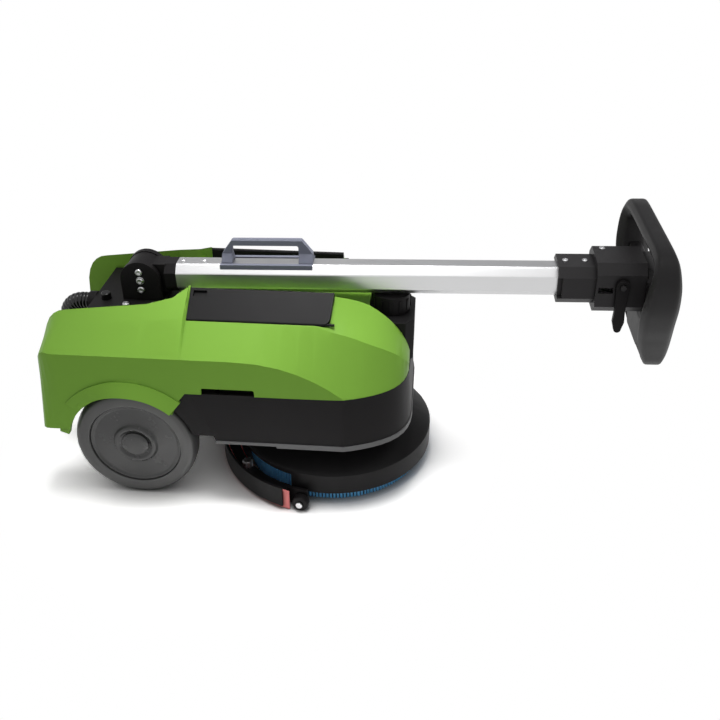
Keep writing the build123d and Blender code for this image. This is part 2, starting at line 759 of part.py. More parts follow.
def lid_outline(grow):
    """A deep prism off the lid's plane with its leaning ends and rounded front corner, grown all round."""
    low = LID_OUTER_V + grow
    high = -FAR
    rear_slope = LID_REAR_LEAN / LID_OUTER_V
    front_slope = LID_FRONT_LEAN / LID_OUTER_V
    points = [(LID_REAR_X - grow + rear_slope * grow, low), (LID_FRONT_X + grow - front_slope * grow, low),
              (LID_FRONT_X + grow + front_slope * (LID_OUTER_V - high), high),
              (LID_REAR_X - grow - rear_slope * (LID_OUTER_V - high), high)]
    face = make_face(Polyline(*points, close=True))
    corner = face.vertices().sort_by_distance(points[1])[0]
    face = fillet(corner, LID_CORNER_R + grow)
    return LID_PLANE * (Pos(0, 0, -2 * FAR) * extrude(face, amount=3 * FAR))


def along_lid(section):
    """A cross-section carried past both ends of the lid."""
    return prism_x(section, LID_REAR_X - FAR, LID_FRONT_X + FAR)


def lid_point(v, n):
    """The y and z of a point in the left lid's plane."""
    run = SHOULDER_HALF - RIDGE_HALF
    drop = RIDGE_Z - SHOULDER_Z
    return RIDGE_HALF + (v * run + n * drop) / LID_SPAN, RIDGE_Z + (n * run - v * drop) / LID_SPAN


def lid_section(outer_v, depth, wall, foot, proud):
    """The lid's angled cross-section: a slab under the slanted plane and a flange beside the pole channel."""
    stretch = LID_SPAN / (SHOULDER_HALF - RIDGE_HALF)
    inner_y = RIDGE_HALF + wall
    corner_z = RIDGE_Z - LID_SLOPE * wall - depth * stretch
    return [lid_point(outer_v, proud), (RIDGE_HALF - proud, RIDGE_Z + proud), (RIDGE_HALF - proud, foot),
            (inner_y, foot), (inner_y, corner_z), lid_point(outer_v, -depth)]


def lid_bay_cut():
    """Room for the left lid and its seal in the hood."""
    depth = LID_T + SEAL_T
    section = lid_section(LID_OUTER_V + LID_GAP, depth, LID_FLANGE_T + LID_SWING_ROOM,
                          RIDGE_Z - LID_FLANGE - LID_GAP, LID_BAY_OPEN)
    room = along_lid(section) & lid_outline(LID_GAP)
    edge = LID_T / 2 + LID_GAP
    relief = block(LID_FRONT_X - LID_CORNER_R, LID_FRONT_X + LID_RELIEF,
                   LID_HINGE_V - edge, LID_HINGE_V + edge, -depth, LID_T)
    pin_rear = LID_REAR_X - LID_PIN_L - LID_GAP - SEAT_GAP
    pin_front = LID_FRONT_X + LID_RELIEF + LID_PIN_L + SEAT_GAP
    pin = bar_x(LID_HINGE_V, LID_HINGE_N, pin_rear, pin_front, LID_PIN_R + RUN_GAP)
    return room + LID_PLANE * relief + LID_PLANE * pin


def lid_frame():
    """The thick rim and the inner wall that the left lid closes on."""
    rear_x = LID_REAR_X - LID_REAR_LEAN - LID_FRAME_RIM
    front_x = LID_FRONT_X + LID_FRONT_LEAN + LID_FRAME_RIM
    rim = LID_PLANE * block(rear_x, front_x, -CUT, LID_OUTER_V + LID_FRAME_RIM, -LID_FRAME_T, LID_BAY_OPEN)
    return rim + block(rear_x, front_x, RIDGE_HALF, BAY_WALL_Y, CHANNEL_Z - HOOD_WALL, RIDGE_Z)


def lid_opening():
    """The way down through the frame into the bay under the left lid."""
    edge_v = LID_OUTER_V - LID_LEDGE
    section = [lid_point(edge_v, CUT), lid_point(edge_v, -FAR), (BAY_WALL_Y, CHANNEL_Z - 2 * HOOD_WALL),
               (BAY_WALL_Y, RIDGE_Z)]
    return along_lid(section) & lid_outline(-LID_LEDGE)


def hood_under_cuts():
    """What is taken off below the hood: room for the tub and its spine, the arches and the grip notches."""
    low = HOOD_FOOT_Z - FAR
    corner_x = TUB_REAR_X - WHEEL_INSET
    step_x = corner_x - ARCH_CUT_SET
    under = [(corner_x, PARTING_Z), (step_x, PARTING_Z - ARCH_CUT_DROP), (step_x, low),
             (NOSE_X + FAR, low), (NOSE_X + FAR, PARTING_Z)]
    tub_room = prism_y(under, -BODY_HALF - FAR, BODY_HALF + FAR)
    spine_half = REAR_BAY_HALF + SPINE_ROOM
    spine_room = block(REAR_BAY_X - SPINE_ROOM_BACK, corner_x, -spine_half, spine_half, low, PARTING_Z)
    arch = bar_y(AXLE_X, AXLE_Z, SPINE_HALF + MOVE_GAP, BODY_HALF + FAR, ARCH_R)
    notch_x = BRUSH_X - GRIP_NOTCH_BACK
    notch = block(notch_x, notch_x + GRIP_NOTCH_LENGTH, BODY_HALF - GRIP_NOTCH_DEPTH, BODY_HALF + FAR,
                  PARTING_Z - CUT, PARTING_Z + GRIP_NOTCH_H)
    notch = fillet(notch.edges().filter_by(Axis.Y).sort_by(Axis.Z)[-2:], GRIP_NOTCH_R)
    return tub_room, spine_room, both_sides(arch), both_sides(notch)


def hood_body(inset):
    """The hood's whole form, moved in by an inset, with its two bays open."""
    low, top = HOOD_FOOT_Z - FAR, RIDGE_Z + FAR
    form = loft([hood_section(x, inset) for x in hood_stations(inset)], ruled=True)
    return form - rear_bay(inset, low, top) - front_bay(inset, low, top)


def upper_hood():
    outer = hood_body(0)
    hood = outer - hood_body(HOOD_WALL) + (both_sides(lid_frame()) & outer)
    hood = hood - both_sides(lid_bay_cut()) - both_sides(lid_opening()) + both_sides(fender_flare())
    for cut in hood_under_cuts():
        hood = hood - cut
    return hood


def fender_flare():
    """The swelling over the left wheel: a flat cone set ahead of and above the axle, so it fades to the rear."""
    side = BODY_HALF - FLARE_SINK
    root = side - FLARE_T
    outer_r = ARCH_R + FLARE_W
    profile = [(0, root), (0, side + FLARE_SLOPE * outer_r), (outer_r, side), (outer_r, root)]
    cone = revolve(make_face(Polyline(*profile, close=True)), axis=Axis.Y, revolution_arc=FLARE_END_ANGLE)
    return Pos(AXLE_X + FLARE_AHEAD, 0, AXLE_Z + FLARE_UP) * Rot(0, -FLARE_END_ANGLE, 0) * cone


def lid_left():
    slab = along_lid(lid_section(LID_HINGE_V, LID_T, LID_FLANGE_T, RIDGE_Z - LID_FLANGE, 0))
    slab += LID_PLANE * bar_x(LID_HINGE_V, LID_HINGE_N, LID_REAR_X - FAR, LID_FRONT_X + FAR, LID_T / 2)
    slab = slab & lid_outline(0)
    ridge = slab.edges().filter_by(Axis.X).sort_by(Axis.Z)[-1:]
    slab = fillet(ridge, LID_RIDGE_R)
    notch_x = LID_REAR_X + LID_NOTCH_SET
    slab -= LID_PLANE * block(notch_x, notch_x + LID_NOTCH_L, LID_NOTCH_V, LID_NOTCH_V + LID_NOTCH_W,
                              -LID_NOTCH_DEPTH, CUT)
    pin_rear = LID_REAR_X - LID_GAP - LID_PIN_L
    pin_front = LID_FRONT_X + LID_RELIEF + LID_PIN_L
    pins = bar_x(LID_HINGE_V, LID_HINGE_N, pin_rear, LID_REAR_X + LID_PIN_L, LID_PIN_R)
    pins += bar_x(LID_HINGE_V, LID_HINGE_N, LID_FRONT_X - LID_CORNER_R, pin_front, LID_PIN_R)
    return slab + LID_PLANE * pins


def lid_seals():
    v1 = LID_OUTER_V - LID_T / 2 - LID_GAP
    foot = -LID_T - SEAL_T
    x0, x1 = LID_REAR_X - FAR, LID_FRONT_X + FAR
    ring = LID_PLANE * block(x0, x1, LID_SEAL_BACK, v1, foot, -LID_T) & lid_outline(-LID_GAP)
    room = LID_PLANE * block(x0, x1, -FAR, v1 - SEAL_W, foot - CUT, CUT)
    return both_sides(ring - (room & lid_outline(-LID_GAP - SEAL_W)))


# Tanks, battery and motors

def solution_tank():
    step = PARTING_Z + SEAT_GAP
    front_low = NOSE_X - TUB_DRAFT - TUB_WALL - SEAT_GAP - COLUMN_FOOT_SET
    front_high = NOSE_X - COLUMN_FRONT_SET
    half, bevel, w = COLUMN_HALF, COLUMN_BEVEL, TANK_WALL
    high = [(COLUMN_X, -half), (front_high - bevel, -half), (front_high, -half + bevel),
            (front_high, half - bevel), (front_high - bevel, half), (COLUMN_X, half)]
    outer = block(COLUMN_X, front_low, -half, half, TANK_FOOT_Z, step) + prism_z(high, step, COLUMN_TOP_Z)
    inner = block(COLUMN_X + w, front_low - w, -half + w, half - w, TANK_FOOT_Z + w, COLUMN_TOP_Z - w)
    neck_z = COLUMN_TOP_Z + FILLER_H
    neck = post(NECK_X, 0, COLUMN_TOP_Z, neck_z, FILLER_R)
    mouth = post(NECK_X, 0, COLUMN_TOP_Z - w - CUT, neck_z + CUT, FILLER_BORE_R)
    outlet = post(NECK_X, 0, TANK_FOOT_Z - CUT, TANK_FOOT_Z + w + CUT, PIPE_R - PIPE_WALL)
    return outer - inner + neck - mouth - outlet


def filler_cap():
    foot = COLUMN_TOP_Z + SEAT_GAP
    top = foot + CAP_H
    cap = post(0, 0, foot, top, CAP_R)
    rib = block(CAP_R - CUT, CAP_R + CAP_RIB_PROUD, -CAP_RIB_W / 2, CAP_RIB_W / 2,
                foot + CAP_RIB_SET, top - CAP_RIB_SET)
    cap = cap.fuse(*[Rot(0, 0, 360 / CAP_RIBS * i) * rib for i in range(CAP_RIBS)])
    return Pos(NECK_X, 0, 0) * (cap - post(0, 0, foot - CUT, top - CAP_TOP_T, FILLER_R + RUN_GAP))


def side_bay(inset, top_inset):
    """The room for a tank in the left side of the body, cut off in line with the lid."""
    top = RIDGE_Z - RECOVERY_SET - top_inset
    inner_y = RECOVERY_INNER_Y + inset
    outer_y = BODY_HALF - RECOVERY_OUTER_SET - inset
    knee_y = SHOULDER_HALF + RECOVERY_KNEE_OUT
    foot = TUB_FLOOR_Z + TUB_WALL + inset
    return [(inner_y, foot), (outer_y, foot), (outer_y, RECOVERY_KNEE_Z),
            (knee_y, top - LID_SLOPE * (knee_y - RIDGE_HALF)),
            (inner_y, top - LID_SLOPE * (inner_y - RIDGE_HALF))]


def recovery_tank():
    x0 = TUB_REAR_FOOT_X + TUB_WALL + SEAT_GAP
    x1 = LID_FRONT_X
    w = TANK_WALL
    outer = prism_x(side_bay(0, 0), x0, x1)
    inner = side_bay(w, -FAR)
    inner[2] = (inner[2][0], RECOVERY_KNEE_Z - w)
    inner[3] = (SHOULDER_HALF - w, inner[3][1])
    return outer - prism_x(inner, x0 + w, x1 - w)


def battery_pack():
    x0 = TUB_REAR_FOOT_X + TUB_WALL + BATTERY_REAR_GAP
    x1 = x0 + BATTERY_LENGTH
    y0 = -(BODY_HALF - TUB_WALL - BATTERY_SIDE_GAP)
    y1 = y0 + BATTERY_WIDTH
    foot = TUB_FLOOR_Z + TUB_WALL
    top = foot + BATTERY_H
    pack = block(x0, x1, y0, y1, foot, top)
    pack = fillet(pack.edges().filter_by(Axis.Z), BATTERY_EDGE_R)
    for x in (x0 + TERMINAL_SET, x1 - TERMINAL_SET):
        pack += post(x, y1 - TERMINAL_SET, top, top + TERMINAL_H, TERMINAL_R)
    return pack


def motor_screw_set(grow):
    """The screws that hold the gearbox down, or their holes when grown."""
    z = GEARBOX_FOOT_Z + GEARBOX_FLANGE_T
    one = screw(BOLT_HEAD_R + grow, BOLT_HEAD_H, BOLT_R + grow, GEARBOX_FLANGE_T + TUB_WALL - MOVE_GAP)
    spots = [Rot(0, 0, 45 + 90 * i) * Pos(MOTOR_SCREW_PCD_R, 0, 0) for i in range(4)]
    return Part() + [Pos(BRUSH_X, 0, z) * spot * one for spot in spots]


def motor_screws():
    return motor_screw_set(0)


def brush_motor():
    foot = GEARBOX_FOOT_Z
    flange_z = foot + GEARBOX_FLANGE_T
    can_z = foot + GEARBOX_H
    nose_z = can_z + MOTOR_H
    motor = post(BRUSH_X, 0, foot, flange_z, GEARBOX_R) + post(BRUSH_X, 0, flange_z, can_z, GEARBOX_BODY_R)
    motor += post(BRUSH_X, 0, can_z, nose_z, MOTOR_R)
    motor += post(BRUSH_X, 0, nose_z, nose_z + MOTOR_NOSE_H, MOTOR_NOSE_R)
    bore = post(BRUSH_X, 0, foot - CUT, SHAFT_TOP_Z + CUT, DRIVE_SHAFT_R + RUN_GAP)
    return motor - bore - motor_screw_set(FIT_GAP)


def vacuum_motor():
    x = BRUSH_X - VACUUM_BACK
    foot = TUB_FLOOR_Z + TUB_WALL
    top = foot + VACUUM_CORE_H
    core = post(x, 0, foot, top, VACUUM_R - VACUUM_WALL - SEAT_GAP)
    return core - post(x, 0, top - FAN_SHAFT_DEPTH - MOVE_GAP, top + CUT, FAN_SHAFT_R + RUN_GAP)


def vacuum_cover():
    x = BRUSH_X - VACUUM_BACK
    foot = TUB_FLOOR_Z + TUB_WALL
    can = post(x, 0, foot, foot + VACUUM_H, VACUUM_R)
    can -= post(x, 0, foot - CUT, foot + VACUUM_H - VACUUM_WALL, VACUUM_R - VACUUM_WALL)
    return can - post(x, 0, foot, foot + VACUUM_H + CUT, VACUUM_INLET_R)


def vacuum_fan():
    core_z = TUB_FLOOR_Z + TUB_WALL + VACUUM_CORE_H
    foot = core_z + MOVE_GAP
    fan = post(0, 0, foot, foot + FAN_PLATE_T, FAN_R)
    fan += post(0, 0, core_z - FAN_SHAFT_DEPTH, foot + FAN_H, FAN_SHAFT_R)
    half_l, half_t = FAN_BLADE_L / 2, FAN_BLADE_T / 2
    blade = block(-half_l, half_l, -half_t, half_t, foot, foot + FAN_BLADE_H)
    blade = Pos(FAN_BLADE_R, 0, 0) * Rot(0, 0, FAN_BLADE_ANGLE) * blade
    fan = fan.fuse(*[Rot(0, 0, 360 / FAN_BLADES * i) * blade for i in range(FAN_BLADES)])
    return Pos(BRUSH_X - VACUUM_BACK, 0, 0) * fan


def control_board():
    x0 = HOUSING_REAR_X + BOARD_SET
    x1 = x0 + BOARD_LENGTH
    half = BOARD_WIDTH / 2
    foot = TUB_FLOOR_Z + TUB_WALL
    z = foot + BOARD_POST_H
    top = z + BOARD_T
    board = block(x0, x1, -half, half, z, top)
    for x in (x0 + BOARD_POST_SET, x1 - BOARD_POST_SET):
        board += both_sides(post(x, half - BOARD_POST_SET, foot, z, BOARD_POST_R))
    edge_x, edge_y = x0 + BOARD_MARGIN, half - BOARD_MARGIN
    board += block(edge_x, edge_x + SINK_LENGTH, -edge_y, -edge_y + SINK_WIDTH, top, top + SINK_H)
    driver_x = x1 - BOARD_MARGIN
    board += block(driver_x - DRIVER_LENGTH, driver_x, edge_y - DRIVER_WIDTH, edge_y, top, top + DRIVER_H)
    for i in range(2):
        board += post(edge_x + CAPACITOR_R + CAPACITOR_STEP * i, edge_y - CAPACITOR_R, top, top + CAPACITOR_H,
                      CAPACITOR_R)
    return board


def water_valve():
    foot = TUB_FLOOR_Z + TUB_WALL
    half_l, half_w = VALVE_LENGTH / 2, VALVE_WIDTH / 2
    valve = block(NECK_X - half_l, NECK_X + half_l, -half_w, half_w, foot, TANK_FOOT_Z)
    coil_x = NECK_X - half_l
    valve += bar_x(0, (foot + TANK_FOOT_Z) / 2, coil_x - VALVE_COIL_L, coil_x, VALVE_COIL_R)
    return valve + post(NECK_X, 0, COVER_KNEE_Z, foot, PIPE_R)


# Rear housing, drain hose and hinge

def rear_housing():
    half = REAR_BAY_HALF - HOUSING_GAP
    tip = RIDGE_HALF - HOUSING_GAP
    bay_x = REAR_BAY_X - HOUSING_GAP
    end_x = REAR_BAY_END_X - HOUSING_GAP
    plan = [(HOUSING_REAR_X, -half), (HOUSING_REAR_X, half), (bay_x, half), (end_x, tip), (end_x, -tip),
            (bay_x, -half)]
    under = DECK_Z - DECK_T
    wall = TUB_WALL
    side = SPINE_HALF - TUB_WALL - MOVE_GAP
    foot = TUB_FLOOR_Z + TUB_WALL
    front_x = REAR_BAY_X + HOUSING_LAP
    box = block(HOUSING_REAR_X, front_x, -side, side, foot, under)
    box -= block(HOUSING_REAR_X + wall, front_x - wall, -side + wall, side - wall, foot - CUT, under)
    housing = box + prism_z(plan, under, DECK_Z) - hinge_bolt_set(FIT_GAP)
    x, y = reset_spot()
    housing -= post(x, y, under - CUT, DECK_Z + CUT, RESET_R + SEAT_GAP)
    return housing - bar_x(0, HOSE_Z, HOUSING_REAR_X - CUT, HOUSING_REAR_X + wall + CUT, HOSE_BORE_R)


def reset_spot():
    """Where the breaker's reset button stands on the rear deck."""
    return HOUSING_REAR_X + RESET_FORWARD, -RESET_SIDE


def reset_button():
    x, y = reset_spot()
    under = DECK_Z - DECK_T - MOVE_GAP
    cap = post(x, y, under, DECK_Z + RESET_H, RESET_R)
    cap = fillet(cap.edges().sort_by(Axis.Z)[-1:], RESET_EDGE_R)
    return cap + post(x, y, under - RESET_FLANGE, under, RESET_R + RESET_FLANGE)


def hose_path():
    """The hose's length, and its point and angle below the rearward level at a distance along it."""
    bend = HOSE_BEND_R * pi / 2
    bend_x = HOUSING_REAR_X - HOSE_RUN

    def at(d):
        if d <= HOSE_RUN:
            return HOUSING_REAR_X - d, HOSE_Z, 0.0
        if d <= HOSE_RUN + bend:
            a = (d - HOSE_RUN) / HOSE_BEND_R
            return bend_x - HOSE_BEND_R * sin(a), HOSE_Z - HOSE_BEND_R * (1 - cos(a)), degrees(a)
        return HOSE_X, HOSE_TURN_Z - (d - HOSE_RUN - bend), 90.0
    return HOSE_RUN + bend + HOSE_TAIL, at


def hose_ring(d, r):
    """A circle across the hose at a distance along it, with a steady X axis."""
    x, z, below = hose_path()[1](d)
    a = radians(below)
    return Plane(origin=(x, 0, z), x_dir=(0, 1, 0), z_dir=(-cos(a), 0, -sin(a))) * Circle(r)


def drain_hose():
    length = hose_path()[0]
    plain = CUFF_L
    count = int((length - 2 * plain) / HOSE_RIB)
    rib = (length - 2 * plain) / count
    rings = [hose_ring(0, HOSE_VALLEY_R)]
    for i in range(count):
        start = plain + i * rib
        rings += [hose_ring(start, HOSE_VALLEY_R), hose_ring(start + HOSE_RIB_RISE * rib, HOSE_R),
                  hose_ring(start + HOSE_RIB_TOP * rib, HOSE_R),
                  hose_ring(start + HOSE_RIB_FALL * rib, HOSE_VALLEY_R)]
    rings.append(hose_ring(length, HOSE_VALLEY_R))
    steps = range(HOSE_BORE_STEPS + 1)
    bore = loft([hose_ring(length * i / HOSE_BORE_STEPS, HOSE_BORE_R) for i in steps], ruled=True)
    return loft(rings, ruled=True) - bore


def hose_cuff():
    x0, x1 = HOUSING_REAR_X - CUFF_L, HOUSING_REAR_X
    return bar_x(0, HOSE_Z, x0, x1, CUFF_R) - bar_x(0, HOSE_Z, x0 - CUT, x1 + CUT, HOSE_VALLEY_R + FIT_GAP)


def drain_plug():
    skirt_z = HOSE_END_Z + PLUG_SKIRT
    plug = post(HOSE_X, 0, HOSE_END_Z - PLUG_H, HOSE_END_Z, CUFF_R)
    plug += post(HOSE_X, 0, HOSE_END_Z, skirt_z, CUFF_R - PLUG_STEP)
    return plug - post(HOSE_X, 0, HOSE_END_Z - SEAT_GAP, skirt_z + CUT, HOSE_VALLEY_R + RUN_GAP)


def hose_shelf():
    top = HOSE_END_Z - PLUG_H - SEAT_GAP
    foot = top - SHELF_T
    bore = CUFF_R + SEAT_GAP
    half = bore + SHELF_RIM_T
    shelf = block(HOSE_X, SPINE_REAR_X, -half, half, foot, top)
    shelf += post(HOSE_X, 0, foot, top + SHELF_RIM_H, half)
    web = [(SPINE_REAR_X, foot), (SPINE_REAR_X - SHELF_WEB_L, foot), (SPINE_REAR_X, foot - SHELF_WEB_H)]
    shelf += prism_y(web, -SHELF_WEB_T / 2, SHELF_WEB_T / 2)
    return shelf - post(HOSE_X, 0, top, top + SHELF_RIM_H + CUT, bore)


def hinge_bolt_set(grow):
    """Bolts of the hinge's cheeks and foot, or their holes when grown."""
    bolt = screw(BOLT_HEAD_R + grow, BOLT_HEAD_H, BOLT_R + grow, BOLT_L)
    bolts = []
    for side in (1, -1):
        for rise in (BOLT_RISE, -BOLT_RISE):
            bolts.append(Pos(HINGE_X, side * HINGE_HALF, HINGE_Z + rise) * Rot(-90 * side, 0, 0) * bolt)
        for along in (FLANGE_BOLT_X, -FLANGE_BOLT_X):
            bolts.append(Pos(HINGE_X + along, side * FLANGE_BOLT_Y, DECK_Z + HINGE_PLATE_T) * bolt)
    return Part() + bolts


def hinge_bolts():
    return hinge_bolt_set(0)


def hinge_base():
    x0, x1 = HINGE_X - HINGE_PLATE_HALF_L, HINGE_X + HINGE_PLATE_HALF_L
    plate_z = DECK_Z + HINGE_PLATE_T
    plate = block(x0, x1, -HINGE_PLATE_HALF_W, HINGE_PLATE_HALF_W, DECK_Z, plate_z)
    inner = HINGE_HALF - CHEEK_T
    cheek = block(HINGE_X - HINGE_R, HINGE_X + HINGE_R, inner, HINGE_HALF, plate_z, HINGE_Z)
    cheek += bar_y(HINGE_X, HINGE_Z, inner, HINGE_HALF, HINGE_R)
    pin_hole = bar_y(HINGE_X, HINGE_Z, -HINGE_HALF - CUT, HINGE_HALF + CUT, HINGE_PIN_R + RUN_GAP / 2)
    return plate + both_sides(cheek) - pin_hole - hinge_bolt_set(FIT_GAP)


def hinge_pin():
    pin = bar_y(HINGE_X, HINGE_Z, -HINGE_HALF, HINGE_HALF, HINGE_PIN_R)
    head = bar_y(HINGE_X, HINGE_Z, HINGE_HALF, HINGE_HALF + BOLT_HEAD_H, HINGE_PIN_R + HINGE_PIN_HEAD)
    return pin + both_sides(head)


# Wheels and axle

def axle():
    end = WHEEL_FACE - HUB_CAP_T - AXLE_END_GAP
    return bar_y(AXLE_X, AXLE_Z, -end, end, AXLE_R)


def axle_brackets():
    y1 = BEARER_Y
    y0 = y1 - AXLE_PLATE_T
    plate = block(AXLE_X - AXLE_PLATE_HALF, AXLE_X + AXLE_PLATE_HALF, y0, y1, AXLE_Z, TUB_FLOOR_Z)
    plate += bar_y(AXLE_X, AXLE_Z, y0, y1, AXLE_EDGE)
    return both_sides(plate - bar_y(AXLE_X, AXLE_Z, y0 - CUT, y1 + CUT, AXLE_R + RUN_GAP / 2))


def wheel_turned(points):
    """An outline of radius and outward-y points, turned about the axle on the left side."""
    face = make_face(Polyline(*points, close=True))
    solid = revolve(face, axis=Axis.Y)
    return Pos(AXLE_X, 0, AXLE_Z) * solid


def tyre_left():
    bore, shoulder = RIM_R + FIT_GAP, WHEEL_R - TYRE_EDGE
    y0, y1 = WHEEL_BACK, WHEEL_FACE
    return wheel_turned([(bore, y0), (shoulder, y0), (WHEEL_R, y0 + TYRE_EDGE), (WHEEL_R, y1 - TYRE_EDGE),
                         (shoulder, y1), (bore, y1)])


def wheel_rim_left():
    dish = WHEEL_FACE - WHEEL_DISH
    web = dish - WHEEL_WEB
    step = dish + RIM_STEP
    flange_r = RIM_R - RIM_FLANGE_T
    hub_back = BEARER_Y + MOVE_GAP
    bore = AXLE_R + RUN_GAP
    seat = WHEEL_FACE - HUB_CAP_T
    ring = WHEEL_FACE - HUB_RING_SET
    ring_r = HUB_RING_R - HUB_RING_SLOPE / 2
    cap_r = HUB_CAP_R + FIT_GAP
    return wheel_turned([
        (bore, hub_back), (HUB_R, hub_back), (HUB_R, web), (flange_r, web), (flange_r, WHEEL_BACK),
        (RIM_R, WHEEL_BACK), (RIM_R, step), (RIM_R - RIM_STEP_W, step), (RIM_R - RIM_SLOPE_W, dish),
        (ring_r + HUB_RING_SLOPE, dish), (ring_r, ring), (ring_r - HUB_RING_W, ring),
        (cap_r, ring - HUB_RING_SET), (cap_r, seat), (bore, seat)])


def hub_cap_left():
    y0, y1 = WHEEL_FACE - HUB_CAP_T, WHEEL_FACE
    return wheel_turned([(0, y0), (HUB_CAP_R, y0), (HUB_CAP_R, y0 + HUB_CAP_EDGE),
                         (HUB_CAP_R - HUB_CAP_BEVEL, y1 - HUB_CAP_DOME), (0, y1)])


# Brush deck

def deck_cover():
    w = COVER_WALL
    inner_r = COVER_R - w
    bore_r = NECK_R - NECK_WALL
    shelf_r = NECK_R + SWIVEL_RING_W + COVER_SHELF_MARGIN
    under = COVER_SHELF_Z - w
    profile = [(COVER_R, COVER_FOOT_Z), (COVER_R, COVER_RIM_Z),
               (COVER_R - COVER_EDGE, COVER_RIM_Z + COVER_EDGE), (COVER_KNEE_R, COVER_KNEE_Z),
               (shelf_r, COVER_SHELF_Z), (NECK_R, COVER_SHELF_Z), (NECK_R, TUB_FLOOR_Z),
               (bore_r, TUB_FLOOR_Z), (bore_r, under), (shelf_r - COVER_INNER_SET, under),
               (COVER_KNEE_R - COVER_INNER_SET, COVER_KNEE_Z - w), (inner_r, COVER_RIM_Z - COVER_INNER_SET),
               (inner_r, COVER_FOOT_Z)]
    cover = turned(profile)
    cover -= arc_band(inner_r - CUT, COVER_R + CUT, COVER_FOOT_Z - CUT, WINDOW_TOP_Z, WINDOW_HALF_ANGLE)
    return Pos(BRUSH_X, 0, 0) * cover - post(NECK_X, 0, COVER_RIM_Z, TUB_FLOOR_Z, PIPE_R + SEAT_GAP)


def brush_plate():
    z0, z1 = BRUSH_PLATE_Z, BRUSH_PLATE_Z + BRUSH_PLATE_T
    bore = post(BRUSH_X, 0, z0 - CUT, z1 + CUT, DRIVE_SHAFT_R + FIT_GAP)
    return post(BRUSH_X, 0, z0, z1, BRUSH_R - BRUSH_PLATE_SET) - bore


def brush_bristles():
    half = BRISTLE_W / 2
    outer = BRUSH_R - half
    strands = []
    for row in range(BRISTLE_ROWS):
        r = outer - row * BRISTLE_ROW_STEP
        count = int(2 * pi * r / BRISTLE_PITCH) - BRISTLE_ROW_FEWER * row
        strand = block(r - half, r + half, -half, half, 0, BRISTLE_L + BRISTLE_BACK / 2)
        strands += [Rot(0, 0, 360 * (i + 0.5 * (row % 2)) / count) * strand for i in range(count)]
    top = BRISTLE_L + BRISTLE_BACK
    back = post(0, 0, BRISTLE_L, top, BRUSH_R + BRISTLE_BACK_LIP)
    back -= post(0, 0, BRISTLE_L - CUT, top + CUT, outer - BRISTLE_ROWS * BRISTLE_ROW_STEP)
    print("bristle strands", len(strands))
    return Pos(BRUSH_X, 0, 0) * back.fuse(*strands)


def drive_shaft():
    hub_z = BRUSH_PLATE_Z + BRUSH_PLATE_T
    shaft = post(BRUSH_X, 0, BRUSH_PLATE_Z, SHAFT_TOP_Z, DRIVE_SHAFT_R)
    return shaft + post(BRUSH_X, 0, hub_z, HUB_TOP_Z, DRIVE_HUB_R)


# Squeegee

def squeegee_carrier():
    z0 = COVER_SHELF_Z + SEAT_GAP
    z1 = z0 + SWIVEL_RING_T
    ring = post(0, 0, z0, z1, NECK_R + SWIVEL_RING_W)
    leg_r0 = SQUEEGEE_R + LEG_INNER_SET
    leg_r1 = SQUEEGEE_R + SQUEEGEE_DEPTH - LEG_OUTER_SET
    arm = block(-leg_r1, 0, -ARM_HALF, ARM_HALF, z1 - ARM_T, z1)
    leg = block(-leg_r1, -leg_r0, -ARM_HALF, ARM_HALF, SQUEEGEE_TOP_Z, z1)
    return Pos(BRUSH_X, 0, 0) * (ring + arm + leg - post(0, 0, z0 - CUT, z1 + CUT, NECK_R + RUN_GAP))


def knob_spot(side):
    """The frame of a clamp knob: Z runs up from the squeegee's top face."""
    return Rot(0, 0, 180 - side * KNOB_ANGLE) * Pos(SQUEEGEE_R + SQUEEGEE_DEPTH / 2, 0, SQUEEGEE_TOP_Z)


def roller_spot(side):
    """The frame of an end roller: X runs outwards along its pin."""
    return Rot(0, 0, 180 - side * ROLLER_ANGLE) * Pos(0, 0, ROLLER_Z)


def squeegee_body():
    outer_r = SQUEEGEE_R + SQUEEGEE_DEPTH
    ear_r = SQUEEGEE_R + ROLLER_EAR_T
    ear_angle = ROLLER_ANGLE + degrees(ROLLER_EAR_R / SQUEEGEE_R)
    body = arc_band(SQUEEGEE_R, outer_r, SQUEEGEE_FOOT_Z, SQUEEGEE_TOP_Z, SQUEEGEE_HALF_ANGLE)
    body += arc_band(SQUEEGEE_R, ear_r, ROLLER_Z - ROLLER_EAR_R, SQUEEGEE_TOP_Z, ear_angle)
    for side in (1, -1):
        body -= knob_spot(side) * post(0, 0, -KNOB_HOLE_DEPTH, CUT, KNOB_STUD_R + RUN_GAP)
        body -= roller_spot(side) * bar_x(0, 0, SQUEEGEE_R - CUT, ear_r + CUT, ROLLER_PIN_R + FIT_GAP)
    return Pos(BRUSH_X, 0, 0) * body


def squeegee_blade_outer():
    half = SQUEEGEE_HALF_ANGLE + degrees(BLADE_OVERRUN / BLADE_R)
    return Pos(BRUSH_X, 0, 0) * arc_band(BLADE_R, BLADE_R + BLADE_T, BLADE_TIP_Z, BLADE_TOP_Z, half)


def squeegee_blade_inner():
    r1 = SQUEEGEE_R - FIT_GAP
    top = SQUEEGEE_TOP_Z - INNER_BLADE_DROP
    half = SQUEEGEE_HALF_ANGLE - INNER_BLADE_SHORT
    return Pos(BRUSH_X, 0, 0) * arc_band(r1 - BLADE_T, r1, BLADE_TIP_Z, top, half)


def squeegee_band():
    band = arc_band(BAND_R, BAND_R + BAND_T, BAND_FOOT_Z, BAND_TOP_Z, SQUEEGEE_HALF_ANGLE)
    return Pos(BRUSH_X, 0, 0) * band


def roller_pin(side):
    out = ROLLER_MID_R + ROLLER_WIDTH / 2 + MOVE_GAP
    pin = bar_x(0, 0, SQUEEGEE_R, out, ROLLER_PIN_R) + bar_x(0, 0, out, out + ROLLER_HEAD_T, ROLLER_HEAD_R)
    return Pos(BRUSH_X, 0, 0) * roller_spot(side) * pin


